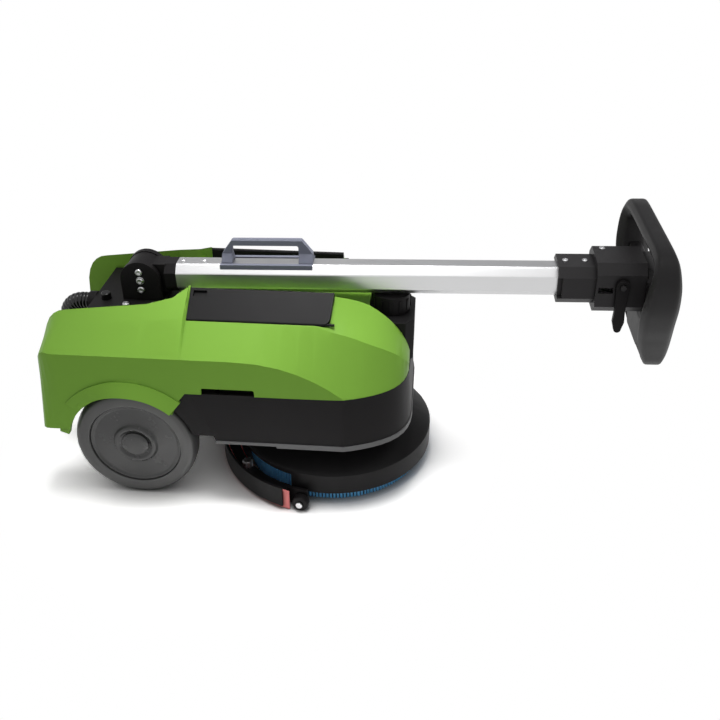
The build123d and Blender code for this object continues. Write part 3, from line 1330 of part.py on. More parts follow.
def roller_pins():
    return roller_pin(1) + roller_pin(-1)


def roller(side):
    r0, r1 = ROLLER_MID_R - ROLLER_WIDTH / 2, ROLLER_MID_R + ROLLER_WIDTH / 2
    wheel = bar_x(0, 0, r0, r1, ROLLER_R)
    wheel = fillet(wheel.edges(), ROLLER_EDGE_R) - bar_x(0, 0, r0 - CUT, r1 + CUT, ROLLER_PIN_R + RUN_GAP)
    return Pos(BRUSH_X, 0, 0) * roller_spot(side) * wheel


def knob(side):
    flute = post(KNOB_R + KNOB_FLUTE_OUT, 0, 0, KNOB_T + CUT, KNOB_FLUTE_R)
    flutes = [Rot(0, 0, 360 / KNOB_FLUTES * i) * flute for i in range(KNOB_FLUTES)]
    grip = post(0, 0, SEAT_GAP, KNOB_T, KNOB_R).cut(*flutes)
    stud = post(0, 0, -KNOB_STUD_L, SEAT_GAP, KNOB_STUD_R)
    return Pos(BRUSH_X, 0, 0) * knob_spot(side) * (grip + stud)


# Folding pole, built along s and then laid on its folded line

POLE = Pos(HINGE_X, 0, HINGE_Z) * Rot(0, -FOLD_TILT, 0)


def pole_knuckle():
    half = POLE_WIDTH / 2
    tongue = bar_y(0, 0, -TONGUE_HALF, TONGUE_HALF, HINGE_R - TONGUE_SET)
    tongue += block(0, KNUCKLE_START + CUT, -TONGUE_HALF, TONGUE_HALF, -half, half)
    head = prism_x(octagon(POLE_WIDTH, POLE_WIDTH, POLE_BEVEL), KNUCKLE_START, POLE_START)
    inside = POLE_WIDTH - 2 * POLE_WALL - 2 * FIT_GAP
    plug = prism_x(octagon(inside, inside, POLE_BEVEL - POLE_WALL / 2), POLE_START, POLE_START + PLUG_LENGTH)
    bore = bar_y(0, 0, -TONGUE_HALF - CUT, TONGUE_HALF + CUT, HINGE_PIN_R + RUN_GAP)
    return POLE * (tongue + head + plug - bore - pole_screw_set(FIT_GAP))


def pole_screw_set(grow):
    """Small screws along the pole and its head, or their holes when grown."""
    one = screw(SCREW_HEAD_R + grow, SCREW_HEAD_H, SCREW_R + grow, SCREW_L)
    collar_s = COLLAR_START + COLLAR_SCREW_FIRST
    spots = [(POLE_SCREW_FIRST, 0, POLE_WIDTH / 2), (POLE_SCREW_FIRST + POLE_SCREW_STEP, 0, POLE_WIDTH / 2),
             (collar_s, 0, COLLAR_H / 2), (collar_s + COLLAR_SCREW_STEP, 0, COLLAR_H / 2),
             (SLEEVE_START + SLEEVE_SCREW_SET, SLEEVE_SCREW_Y, SLEEVE_H / 2)]
    return Part() + [Pos(*spot) * one for spot in spots]


def pole_screws():
    return POLE * pole_screw_set(0)


def pole_tube():
    outer = prism_x(octagon(POLE_WIDTH, POLE_WIDTH, POLE_BEVEL), POLE_START, POLE_END)
    inside = POLE_WIDTH - 2 * POLE_WALL
    inner = prism_x(octagon(inside, inside, POLE_BEVEL - POLE_WALL / 2), POLE_START - CUT, POLE_END + CUT)
    return POLE * (outer - inner - pole_screw_set(FIT_GAP))


def carry_handle():
    base = POLE_WIDTH / 2
    top = base + CARRY_H
    knee = base + CARRY_KNEE_H
    foot = base - POLE_BEVEL + CARRY_LAP
    s0, s1 = CARRY_START - CUT, CARRY_END + CUT
    side = [(CARRY_START, foot), (CARRY_END, foot), (CARRY_END, knee), (CARRY_TOP_END, top),
            (CARRY_TOP_START, top), (CARRY_KNEE_START, knee)]
    across = [(CARRY_FOOT_HALF, foot), (CARRY_FOOT_HALF, base + CARRY_FOOT_H), (CARRY_HALF, knee),
              (CARRY_HALF, top - CARRY_EDGE), (CARRY_HALF - CARRY_EDGE, top)]
    across += [(-y, z) for y, z in reversed(across)]
    frame = prism_y(side, -CARRY_FOOT_HALF, CARRY_FOOT_HALF)
    frame = fillet(frame.edges().filter_by(Axis.Y).sort_by(Axis.Z)[-2:], CARRY_CORNER_R)
    frame = frame & prism_x(across, s0, s1)
    window = block(CARRY_WINDOW_START, CARRY_WINDOW_END, -FAR, FAR, foot - CUT, top - CARRY_BAR)
    window = fillet(window.edges().filter_by(Axis.Y).sort_by(Axis.Z)[-2:], CARRY_WINDOW_R)
    rail = block(CARRY_START, CARRY_END, base - POLE_BEVEL, CARRY_RAIL_HALF, foot, base + CARRY_RAIL_H)
    seat = prism_x(octagon(POLE_WIDTH, POLE_WIDTH, POLE_BEVEL), s0, s1)
    return POLE * (frame - window + both_sides(rail) - seat)


def collar():
    body = prism_x(octagon(COLLAR_WIDTH, COLLAR_H, COLLAR_BEVEL), COLLAR_START, SLEEVE_START)
    fit = POLE_WIDTH + 2 * FIT_GAP
    hole = prism_x(octagon(fit, fit, POLE_BEVEL), COLLAR_START - CUT, SLEEVE_START + CUT)
    flat = COLLAR_H / 2 - COLLAR_BEVEL
    relief = block(COLLAR_START - CUT, COLLAR_START + COLLAR_RELIEF, POLE_WIDTH / 2 + COLLAR_RELIEF_SET,
                   COLLAR_WIDTH, -flat, flat)
    return POLE * (body - hole - both_sides(relief) - pole_screw_set(FIT_GAP))


def head_sleeve():
    w = SLEEVE_WALL
    body = prism_x(octagon(SLEEVE_WIDTH, SLEEVE_H, SLEEVE_BEVEL), SLEEVE_START, SLEEVE_END)
    hollow = octagon(SLEEVE_WIDTH - 2 * w, SLEEVE_H - 2 * w, SLEEVE_BEVEL - w / 2)
    room = prism_x(hollow, SLEEVE_START + w, SLEEVE_END + CUT)
    fit = POLE_WIDTH + 2 * FIT_GAP
    hole = prism_x(octagon(fit, fit, POLE_BEVEL), SLEEVE_START - CUT, SLEEVE_START + w + CUT)
    side = SLEEVE_WIDTH / 2
    slot_s = LEVER_S - LEVER_HEAD_R - LEVER_SLOT_SET
    slot_z = LEVER_Z - LEVER_SLOT_H / 2
    slot = block(slot_s - LEVER_SLOT_L, slot_s, -side - CUT, -side + w + CUT, slot_z - LEVER_SLOT_H, slot_z)
    pin = bar_y(LEVER_S, LEVER_Z, -side - MOVE_GAP - LEVER_T - LEVER_PIN_END, -side + w, LEVER_PIN_R)
    return POLE * (body - room - hole - slot + pin - pole_screw_set(FIT_GAP))


def release_lever():
    y1 = -SLEEVE_WIDTH / 2 - MOVE_GAP
    y0 = y1 - LEVER_T
    tip_z = LEVER_TIP_Z + LEVER_TIP_R
    right = [(LEVER_HEAD_R, LEVER_Z), (LEVER_WAIST_HALF, LEVER_WAIST_Z), (LEVER_HALF, LEVER_BELLY_Z),
             (LEVER_TIP_R, tip_z)]
    outline = [(LEVER_S + s, z) for s, z in right] + [(LEVER_S - s, z) for s, z in reversed(right)]
    lever = prism_y(outline, y0, y1) + bar_y(LEVER_S, LEVER_Z, y0, y1, LEVER_HEAD_R)
    lever += bar_y(LEVER_S, tip_z, y0, y1, LEVER_TIP_R)
    return POLE * (lever - bar_y(LEVER_S, LEVER_Z, y0 - CUT, y1 + CUT, LEVER_PIN_R + RUN_GAP))


def loop_section(i):
    """The loop's bar at one station: a rounded oblong across the way to the next station."""
    across, up, past, depth, thickness = LOOP_STATIONS[i]
    before, after = LOOP_STATIONS[max(i - 1, 0)], LOOP_STATIONS[min(i + 1, len(LOOP_STATIONS) - 1)]
    way = (0, 1, 0) if i == 0 else (0, after[0] - before[0], after[1] - before[1])
    if i == len(LOOP_STATIONS) - 1:
        way = (0, -1, 0)
    plane = Plane(origin=(SLEEVE_END + past, across, up), x_dir=(1, 0, 0), z_dir=way)
    return plane * RectangleRounded(depth, thickness, LOOP_ROUND * thickness)


def steering_loop():
    loop = both_sides(loft([loop_section(i) for i in range(len(LOOP_STATIONS))], ruled=True))
    face_s = SLEEVE_END + HUB_T
    hub = Pos(0, 0, -HUB_DROP) * prism_x(octagon(HUB_WIDTH, HUB_H, HUB_BEVEL), SLEEVE_END, face_s)
    web = prism_x(list(HUB_WEB) + [(-y, z) for y, z in reversed(HUB_WEB)], SLEEVE_END, face_s)
    return POLE * (loop + hub + web)


def panel_plate(margin):
    """The hub's outline, moved in by a margin."""
    return octagon(HUB_WIDTH - 2 * margin, HUB_H - 2 * margin, HUB_BEVEL - margin / 2)


def control_panel():
    s0, s1 = SLEEVE_END + HUB_T, SLEEVE_END + HUB_T + PANEL_T
    panel = Pos(0, 0, -HUB_DROP) * prism_x(panel_plate(PANEL_MARGIN), s0, s1)
    half_w, half_h = SCREEN_WIDTH / 2, SCREEN_H / 2
    panel -= block(s1 - SCREEN_DEPTH, s1 + CUT, -half_w, half_w, SCREEN_Z - half_h, SCREEN_Z + half_h)
    for side in (1, -1):
        panel -= bar_x(side * BUTTON_Y, BUTTON_Z, s0 - CUT, s1 + CUT, BUTTON_R + SEAT_GAP)
    return POLE * panel


def button(side):
    s1 = SLEEVE_END + HUB_T + PANEL_T
    s0 = SLEEVE_END + HUB_T + BUTTON_TRAVEL + MOVE_GAP
    return POLE * bar_x(side * BUTTON_Y, BUTTON_Z, s0, s1 + BUTTON_PROUD, BUTTON_R)


def build_nodes():
    """Every sub-part by name."""
    nodes = {
        "chassis_tub": chassis_tub(), "bottom_trim": bottom_trim(), "wheel_guards": wheel_guards(),
        "upper_hood": upper_hood(), "lid_seals": lid_seals(),
        "solution_tank": solution_tank(), "filler_cap": filler_cap(), "recovery_tank": recovery_tank(),
        "battery_pack": battery_pack(), "brush_motor": brush_motor(), "motor_screws": motor_screws(),
        "vacuum_motor": vacuum_motor(), "vacuum_cover": vacuum_cover(), "vacuum_fan": vacuum_fan(),
        "control_board": control_board(), "water_valve": water_valve(),
        "rear_housing": rear_housing(), "reset_button": reset_button(), "drain_hose": drain_hose(),
        "hose_cuff": hose_cuff(), "drain_plug": drain_plug(), "hose_shelf": hose_shelf(),
        "hinge_base": hinge_base(), "hinge_bolts": hinge_bolts(), "hinge_pin": hinge_pin(),
        "axle": axle(), "axle_brackets": axle_brackets(),
        "deck_cover": deck_cover(), "brush_plate": brush_plate(), "brush_bristles": brush_bristles(),
        "drive_shaft": drive_shaft(),
        "squeegee_carrier": squeegee_carrier(), "squeegee_body": squeegee_body(),
        "squeegee_blade_outer": squeegee_blade_outer(), "squeegee_blade_inner": squeegee_blade_inner(),
        "squeegee_band": squeegee_band(), "roller_pins": roller_pins(),
        "roller_left": roller(1), "roller_right": roller(-1), "knob_left": knob(1), "knob_right": knob(-1),
        "pole_knuckle": pole_knuckle(), "pole_tube": pole_tube(), "pole_screws": pole_screws(),
        "carry_handle": carry_handle(), "collar": collar(), "head_sleeve": head_sleeve(),
        "release_lever": release_lever(), "steering_loop": steering_loop(), "control_panel": control_panel(),
        "brush_button": button(1), "power_button": button(-1),
    }
    left_pieces = {"lid": lid_left, "tyre": tyre_left, "wheel_rim": wheel_rim_left, "hub_cap": hub_cap_left}
    for name, make in left_pieces.items():
        nodes[name + "_left"] = make()
        nodes[name + "_right"] = mirrored(nodes[name + "_left"])
    return nodes


os.makedirs("parts", exist_ok=True)
for node_name, solid in build_nodes().items():
    export_step(solid, os.path.join("parts", node_name + ".step"))
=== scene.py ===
"""Looks for a compact walk-behind scrubber dryer whose handle pole is folded forward over its body.

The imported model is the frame: +X forward, +Y to the machine's left, +Z up, in metres, on the floor z = 0.
"""

import json
from math import cos, pi, radians, sin

import bmesh
import bpy
import numpy as np
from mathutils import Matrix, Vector

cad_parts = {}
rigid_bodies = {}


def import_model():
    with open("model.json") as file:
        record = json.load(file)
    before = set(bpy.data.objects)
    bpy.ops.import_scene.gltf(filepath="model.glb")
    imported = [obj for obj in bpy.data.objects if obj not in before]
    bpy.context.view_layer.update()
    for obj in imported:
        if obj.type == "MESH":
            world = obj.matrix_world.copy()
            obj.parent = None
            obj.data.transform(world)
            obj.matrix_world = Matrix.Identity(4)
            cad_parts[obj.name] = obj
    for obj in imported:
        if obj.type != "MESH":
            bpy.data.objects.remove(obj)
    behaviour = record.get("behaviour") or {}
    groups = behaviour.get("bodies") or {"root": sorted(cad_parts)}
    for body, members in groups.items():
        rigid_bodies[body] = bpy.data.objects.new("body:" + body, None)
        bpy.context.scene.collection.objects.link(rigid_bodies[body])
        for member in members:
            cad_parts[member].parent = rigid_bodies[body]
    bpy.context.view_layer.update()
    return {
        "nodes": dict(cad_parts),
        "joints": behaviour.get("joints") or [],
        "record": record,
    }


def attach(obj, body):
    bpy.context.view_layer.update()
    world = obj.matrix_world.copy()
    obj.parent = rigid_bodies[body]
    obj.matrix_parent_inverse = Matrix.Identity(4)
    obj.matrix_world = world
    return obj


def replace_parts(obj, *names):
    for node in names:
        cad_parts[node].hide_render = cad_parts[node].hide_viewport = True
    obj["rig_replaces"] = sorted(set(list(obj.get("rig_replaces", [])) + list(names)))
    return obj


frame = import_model()
NODES = frame["nodes"]
JOINTS = {joint["name"]: joint for joint in frame["joints"]}
BODY_OF = {node: body for body, nodes in frame["record"]["behaviour"]["bodies"].items() for node in nodes}
SLOT_OF = {part["node"]: part["material_slot"] for part in frame["record"]["subparts"]}

# Places taken from the joints
BRUSH = np.array(JOINTS["brush_spin"]["pos_m"])
AXLE = np.array(JOINTS["wheel_left_spin"]["pos_m"])
HINGE = np.array(JOINTS["pole_fold"]["pos_m"])
FOLD_TILT = radians(1.72)

# Camera of the photographed view
VIEW_AZIMUTH = radians(4.74)
VIEW_ELEVATION = radians(32.44)
VIEW_DISTANCE = 1.2974
VIEW_TARGET = np.array([BRUSH[0] + 0.0387, 0.0, 0.1591])
VIEW_LENS = 42.5
VIEW_SENSOR = 36.0
VIEW_FAR = 60.0

# Studio floor: its tones to the eye and to bounced light, where it turns plain white, and its painted contact
# shadow
BLACK = (0.0, 0.0, 0.0, 1.0)
WHITE = (1.0, 1.0, 1.0, 1.0)
FLOOR_HALF = 9.0
FLOOR_DROP = 0.0002
FLOOR_ROUGH = 0.9
FLOOR_SEEN = (2.2, 2.185, 2.175, 1.0)
FLOOR_BOUNCE = (0.7, 0.7, 0.7, 1.0)
FLOOR_MIDDLE = (-0.17, 0.0, 0.0)
FLOOR_NEAR = 0.27
FLOOR_FADE = 0.13
SHADE_REACH = 0.085
SHADE_DEPTH = 1.2

# World, and the grey card that gloss on the machine mirrors
WORLD_STRENGTH = 0.41
SEEN_RAYS = ("Is Camera Ray", "Is Glossy Ray", "Is Transmission Ray")
CARD_HALF = 4.0
CARD_BACK = 2.0
CARD_LOW = 0.75
CARD_HIGH = 3.6
CARD_GREY = (0.42, 0.42, 0.43, 1.0)

# Lamps: place, aim, size, watts and spread in degrees
LAMPS = {
    "key_softbox": ((-0.1, -0.04, 1.3), (-0.09, -0.13, 0.25), 0.5, 0.95, 40.0),
    "broad_softbox": ((0.05, -0.35, 2.6), (-0.05, 0.0, 0.1), 2.0, 3.0, 180.0),
}

# Moulded plastic: scales of its drifts in colour and gloss, its grain in the normal, and the reach and tone
# of the painted shade that darkens its colour in crevices
DRIFT_SCALE = 14.0
GLOSS_SCALE = 45.0
GLOSS_SPREAD = 0.06
GRAIN_STRENGTH = 0.6
CREVICE_SHADE_REACH = 0.006
CREVICE_SHADE_TONE = 0.15
MOTTLE = 0.05

# Drawn metal: its streaks along the piece and its drift of colour
STREAK_STRETCH = (5.0, 700.0, 700.0)
STREAK_SPREAD = 0.1
STREAK_STRENGTH = 0.35
STREAK_DEPTH = 0.00002
METAL_DRIFT = 9.0
METAL_TONES = (0.95, 1.03)

# Machined steel: its scratches and its drift of colour and gloss
SCRATCH_SCALE = 900.0
SCRATCH_STRENGTH = 0.25
SCRATCH_DEPTH = 0.00003
STEEL_DRIFT = 60.0
STEEL_SPREAD = 0.08
STEEL_TONES = (0.85, 1.08)

GREEN = (0.225, 0.455, 0.055, 1.0)
NEAR_BLACK = (0.0095, 0.0085, 0.009, 1.0)
CHARCOAL = (0.0115, 0.011, 0.0115, 1.0)
STRIP_GREY = (0.16, 0.16, 0.162, 1.0)
WHEEL_GREY = (0.06, 0.0595, 0.0595, 1.0)
TYRE_GREY = (0.105, 0.1045, 0.1035, 1.0)
BRUSH_BLUE = (0.2, 0.58, 0.97, 1.0)
BLADE_RED = (0.95, 0.28, 0.27, 1.0)
SLATE = (0.205, 0.216, 0.275, 1.0)
ALUMINIUM = (0.66, 0.66, 0.665, 1.0)
STEEL = (0.62, 0.62, 0.63, 1.0)
NATURAL = (0.62, 0.63, 0.6, 1.0)
BOARD = (0.02, 0.14, 0.05, 1.0)
BUTTON = (0.3, 0.3, 0.31, 1.0)
HOSE_TONE = (0.004, 0.004, 0.0042, 1.0)
SOFT_BLACK = (0.034, 0.032, 0.0335, 1.0)

# Finishes of moulded plastic: colour, roughness, scale and depth of the grain, specular level
MOULDED = {
    "shell_green": (GREEN, 0.4, 900.0, 0.00003, 0.15),
    "black_plastic": (NEAR_BLACK, 0.5, 1300.0, 0.00008, 0.13),
    "dark_gloss": (CHARCOAL, 0.42, 1000.0, 0.00004, 0.1),
    "trim_grey": (STRIP_GREY, 0.45, 1100.0, 0.00006, 0.25),
    "wheel_grey": (WHEEL_GREY, 0.26, 700.0, 0.00003, 0.4),
    "tyre_rubber": (TYRE_GREY, 0.34, 900.0, 0.00004, 0.35),
    "bristle_blue": (BRUSH_BLUE, 0.4, 1100.0, 0.00006, 0.3),
    "blade_red": (BLADE_RED, 0.5, 800.0, 0.00006, 0.25),
    "handle_grey": (SLATE, 0.5, 1500.0, 0.00008, 0.3),
    "grip_rubber": (NEAR_BLACK, 0.48, 1600.0, 0.00009, 0.25),
    "tank_natural": (NATURAL, 0.5, 1100.0, 0.00006, 0.5),
    "board_green": (BOARD, 0.4, 1100.0, 0.00006, 0.5),
    "button_grey": (BUTTON, 0.35, 1100.0, 0.00006, 0.5),
    "head_black": (SOFT_BLACK, 0.45, 1200.0, 0.00006, 0.2),
    "hose_black": (HOSE_TONE, 0.16, 800.0, 0.00003, 0.4),
}
# Finishes whose drift of colour and whose painted shade in crevices aren't the usual ones
OTHER_MOTTLE = {"shell_green": 0.02, "bristle_blue": 0.15}
OTHER_CREVICE_SHADE = {"bristle_blue": 0.9}
ALUMINIUM_ROUGH = 0.36
STEEL_ROUGH = 0.3

# Solids that are dressed: nearness at which points join, turns of flat and sharp edges, and rounding of edges
JOIN_SOLID = 0.000002
FLAT_TURN = radians(0.5)
SHARP_TURN = radians(30.0)
EVEN_WEIGHT = 80
EDGE = 0.0007
EDGE_STEPS = 2
WIDE_STEPS = 4
WIDE_EDGE = {"carry_handle": 0.0014, "solution_tank": 0.0018, "chassis_tub": 0.0012, "rear_housing": 0.0015,
             "collar": 0.0012, "head_sleeve": 0.0014, "hinge_base": 0.0012, "deck_cover": 0.0012}
OTHER_FINISH = {"reset_button": "hose_black", "collar": "head_black", "head_sleeve": "head_black"}

# New surfaces: nearness at which points join, and the turn in degrees past which an edge is sharp
JOIN_SURFACE = 0.000001
JOIN_STRAND = 0.0000005
SURFACE_TURN = 40.0
LATHE_TURN = 50.0
HOSE_TURN = 60.0

# The pieces' sizes below are in millimetres
MM = 0.001

# Wheels: corners of the tyre, rim and cap as radius and place across the machine, with each one's cut back
WHEEL_ROUND = 160
TYRE = ((67.1, 108.0, 1.0), (80.0, 108.0, 5.0), (89.0, 116.0, 7.0), (89.0, 139.0, 7.0), (83.5, 147.6, 5.5),
        (67.1, 146.0, 1.2))
RIM = ((8.1, 82.5, 0.6), (18.0, 82.5, 1.0), (18.0, 134.0, 1.0), (59.0, 134.0, 1.0), (59.0, 108.0, 1.0),
       (66.9, 108.0, 1.0), (66.9, 143.4, 1.2), (64.6, 143.4, 1.0), (61.0, 141.0, 1.6), (33.0, 141.0, 1.6),
       (29.8, 146.0, 1.6), (25.5, 146.0, 1.2), (22.5, 143.6, 1.0), (20.2, 143.2, 0.1), (8.1, 143.2, 0.1))
HUB_CAP = ((0.0, 143.2, 0.0), (20.0, 143.2, 0.1), (20.0, 145.4, 1.2), (16.4, 147.4, 1.8), (0.0, 147.8, 0.0))

# Brush: rings of tufts as radius and count, each tuft a few strands that lean and end a little unevenly
BRUSH_SEED = 7
BRUSH_RINGS = ((136.3, 165), (129.0, 156), (121.5, 147))
TUFT_STRANDS = 9
TUFT_ROOT = 1.0
TUFT_SPREAD = 0.5
TUFT_STRAY = 0.5
LEAN_LEAST = 0.5
STRAND_R = 0.5
STRAND_SIDES = 5
STRAND_SHARE = (0.0, 0.0, 0.5, 1.0, 1.0)
STRAND_WIDTH = (0.0, 1.0, 1.0, 0.85, 0.0)
BRISTLE_ROOT_Z = 40.5
BRISTLE_TIP_Z = (0.2, 1.2)
BRUSH_BACK = ((114.0, 40.0, 0.5), (139.0, 40.0, 0.5), (139.0, 43.0, 0.5), (114.0, 43.0, 0.5))

# Drain hose, from the rear housing back, round a quarter bend and down
HOSE_START_X = -385.8
HOSE_Z = 244.0
HOSE_RUN = 23.5
HOSE_BEND_R = 26.0
HOSE_DROP = 60.0
HOSE_PLAIN = 12.0
HOSE_PITCH = 5.0
HOSE_VALLEY_R = 11.3
HOSE_RIB_H = 1.7
HOSE_BORE_R = 9.0
HOSE_STEPS = 400
HOSE_ROUND = 40

# Pole: an octagon's corners across and up, with how far each is cut back, its ends along s and its wall
POLE_CORNERS = ((22.0, -11.0, 1.5), (22.0, 11.0, 1.5), (11.0, 22.0, 3.0), (-11.0, 22.0, 3.0),
                (-22.0, 11.0, 1.5), (-22.0, -11.0, 1.5), (-11.0, -22.0, 3.0), (11.0, -22.0, 3.0))
POLE_START = 53.0
POLE_END = 690.0
POLE_BORE = 19.5 / 22.0
POLE_STEPS = 9

# Swellings over the wheel arches: the arch's radius, their width and stand, and angles about the axle
ARCH_R = 93.0
FLARE_W = 21.0
FLARE_OUT = 8.5
FLARE_SIDE = 154.0
FLARE_ROOT = 5.0
FLARE_FRONT = radians(47.0)
FLARE_FULL = radians(84.0)
FLARE_REAR = radians(140.0)
FLARE_STEPS = 70
FLARE_ROWS = 12

# The hood's upper corners ahead of the rear bay, drawn out and down where they meet the lids
CORNER_X = -246.0
CORNER_REACH = 13.0
CORNER_FOOT_Z = 262.0
CORNER_TOP_Z = 314.0
CORNER_OUT = 18.0
CORNER_DOWN = 11.0
CORNER_NEAR_Y = 70.0
CORNER_FAR_Y = 100.0
LIP_X = -224.9
LIP_END_X = -223.9
LIP_START_X = -290.0
LIP_DOWN = 4.0
LIP_NEAR_Y = 112.0
LIP_FAR_Y = 150.0

# Bolt and screw heads with a socket, and the pin: radius and height, with how far each corner is cut back
HEAD_ROUND = 32
BOLT = ((0.0, -7.0, 0.0), (2.5, -7.0, 0.2), (2.5, 0.0, 0.1), (5.3, 0.0, 0.2), (5.3, 2.2, 0.9),
        (4.3, 3.4, 0.5), (2.7, 3.4, 0.3), (2.5, 1.2, 0.2), (0.0, 1.2, 0.0))
PIN = ((0.0, -24.0, 0.0), (6.0, -24.0, 0.2), (6.0, 24.0, 0.2), (0.0, 24.0, 0.0))
SCREW = ((0.0, -3.0, 0.0), (1.8, -3.0, 0.2), (1.8, 0.0, 0.1), (4.3, 0.0, 0.2), (4.0, 1.1, 0.5),
         (2.6, 1.9, 0.5), (1.7, 1.9, 0.2), (1.5, 0.6, 0.2), (0.0, 0.6, 0.0))
CHEEK_Y = 24.0
BOLT_RISE = 14.0
FOOT_BOLT_X = 20.0
FOOT_BOLT_Y = 40.0
FOOT_BOLT_Z = 262.0
SCREW_SPOTS = ((61.0, 0.0, 22.0), (92.0, 0.0, 22.0), (604.0, 0.0, 27.5), (631.0, 0.0, 27.5),
               (656.0, 20.0, 37.0))

# Steering loop: stations of half of it, from the middle of its top bar to its apex, in the pole's frame:
# across, up, past the sleeve's end, depth along the pole, thickness
SLEEVE_END = 709.0
LOOP_HALF = np.array((
    (0.0, 71.0, 5.0, 30.0, 24.0),
    (45.0, 71.0, 5.0, 30.0, 24.0),
    (80.0, 70.0, 5.0, 31.0, 24.0),
    (99.0, 66.0, 5.0, 33.0, 24.0),
    (107.5, 54.0, 5.0, 38.0, 23.0),
    (107.0, 36.0, 5.5, 44.0, 23.0),
    (99.0, 8.0, 6.5, 49.0, 23.0),
    (82.0, -24.0, 10.0, 49.0, 23.0),
    (62.0, -54.0, 15.5, 48.0, 23.0),
    (40.0, -86.0, 22.5, 44.0, 23.0),
    (20.0, -112.0, 29.5, 36.0, 25.0),
    (0.0, -124.0, 34.0, 32.0, 26.0),
))
LOOP_MIRROR = (-1, 1, 1, 1, 1)
LOOP_STEPS = 10
# The bar's outline in shares of its depth and thickness: a flat outer face and a narrower inner one
LOOP_BAR = ((-0.5, 0.1), (-0.34, 0.5), (0.34, 0.5), (0.5, 0.1), (0.26, -0.5), (-0.26, -0.5))
LOOP_BAR_CUT = 0.13
LOOP_BAR_STEPS = 6
# The web and the hub behind the panel: corners across and up, thickness and rounded edge
WEB_HALF = ((98.0, 16.0), (84.0, -20.0), (60.0, -56.0), (34.0, -89.0))
WEB_T = 17.0
WEB_EDGE = 2.0
HUB_CORNERS = ((48.0, -32.0), (48.0, 12.0), (32.0, 28.0), (-32.0, 28.0), (-48.0, 12.0), (-48.0, -32.0),
               (-32.0, -48.0), (32.0, -48.0))
HUB_T = 18.0
HUB_EDGE = 1.5
PLATE_CUT = 3.0


def make_camera():
    """A camera on the line from the target that has the photograph's azimuth and elevation."""
    level = cos(VIEW_ELEVATION)
    back = np.array([sin(VIEW_AZIMUTH) * level, -cos(VIEW_AZIMUTH) * level, sin(VIEW_ELEVATION)])
    data = bpy.data.cameras.new("photo_camera")
    data.lens = VIEW_LENS
    data.sensor_width = VIEW_SENSOR
    data.clip_end = VIEW_FAR
    camera = bpy.data.objects.new("photo_camera", data)
    camera.location = VIEW_TARGET + back * VIEW_DISTANCE
    camera.rotation_euler = Vector(-back).to_track_quat("-Z", "Y").to_euler()
    bpy.context.scene.collection.objects.link(camera)
    bpy.context.scene.camera = camera


class Val:
    """A shader value. Arithmetic on it adds Math nodes to its material."""

    def __init__(self, tree, socket):
        self.tree = tree
        self.socket = socket

    def _math(self, operation, first, second):
        node = self.tree.nodes.new("ShaderNodeMath")
        node.operation = operation
        for slot, value in zip(node.inputs, (first, second)):
            if isinstance(value, Val):
                self.tree.links.new(value.socket, slot)
            else:
                slot.default_value = value
        return Val(self.tree, node.outputs[0])

    def __add__(self, other):
        return self._math("ADD", self, other)

    def __radd__(self, other):
        return self._math("ADD", other, self)

    def __mul__(self, other):
        return self._math("MULTIPLY", self, other)

    def __rmul__(self, other):
        return self._math("MULTIPLY", other, self)

    def __pow__(self, other):
        return self._math("POWER", self, other)


class Finish:
    """A material being made: its node tree, its Principled shader and a way to add nodes."""

    def __init__(self, name, **sockets):
        self.material = bpy.data.materials.new(name)
        self.material.use_nodes = True
        self.tree = self.material.node_tree
        self.shader = self.tree.nodes["Principled BSDF"]
        self.wear(**sockets)

    def feed(self, node, inputs):
        """Sets a node's sockets to values or links them."""
        for key, value in inputs.items():
            slot = node.inputs[key]
            if isinstance(value, Val):
                self.tree.links.new(value.socket, slot)
            else:
                slot.default_value = value

    def node(self, kind, settings=None, inputs=None, output=0):
        """Adds a node of a type with its settings and its sockets' values or links, and gives one output."""
        node = self.tree.nodes.new("ShaderNode" + kind)
        for key, value in (settings or {}).items():
            setattr(node, key, value)
        self.feed(node, inputs or {})
        return Val(self.tree, node.outputs[output])

    def place(self, stretch=(1.0, 1.0, 1.0)):
        """Object coordinates, stretched along the axes."""
        coordinate = self.node("TexCoord", output="Object")
        return self.node("Mapping", inputs={"Vector": coordinate, "Scale": stretch})

    def noise(self, vector, scale, detail=2.0, roughness=0.5):
        """A cloudy pattern of 0 to 1 at a scale."""
        return self.node("TexNoise", inputs={"Vector": vector, "Scale": scale, "Detail": detail,
                                             "Roughness": roughness})

    def mix(self, factor, first, second):
        """A colour between two colours."""
        node = self.tree.nodes.new("ShaderNodeMix")
        node.data_type = "RGBA"
        self.feed(node, {0: factor, 6: first, 7: second})
        return Val(self.tree, node.outputs[2])

    def bump(self, height, strength, distance):
        """A normal that follows a height."""
        return self.node("Bump", inputs={"Height": height, "Strength": strength, "Distance": distance})

    def occlusion(self, reach):
        """How open a spot is to its surroundings within a reach: 1 in the open, 0 in a deep corner."""
        return self.node("AmbientOcclusion", inputs={"Distance": reach}, output="AO")

    def wear(self, **sockets):
        """Feeds the shader's sockets, named with underscores for spaces, and gives the material."""
        self.feed(self.shader, {key.replace("_", " "): value for key, value in sockets.items()})
        return self.material


def shade(colour, factor):
    """A colour made lighter or darker by a factor."""
    return tuple(min(1.0, part * factor) for part in colour[:3]) + (1.0,)


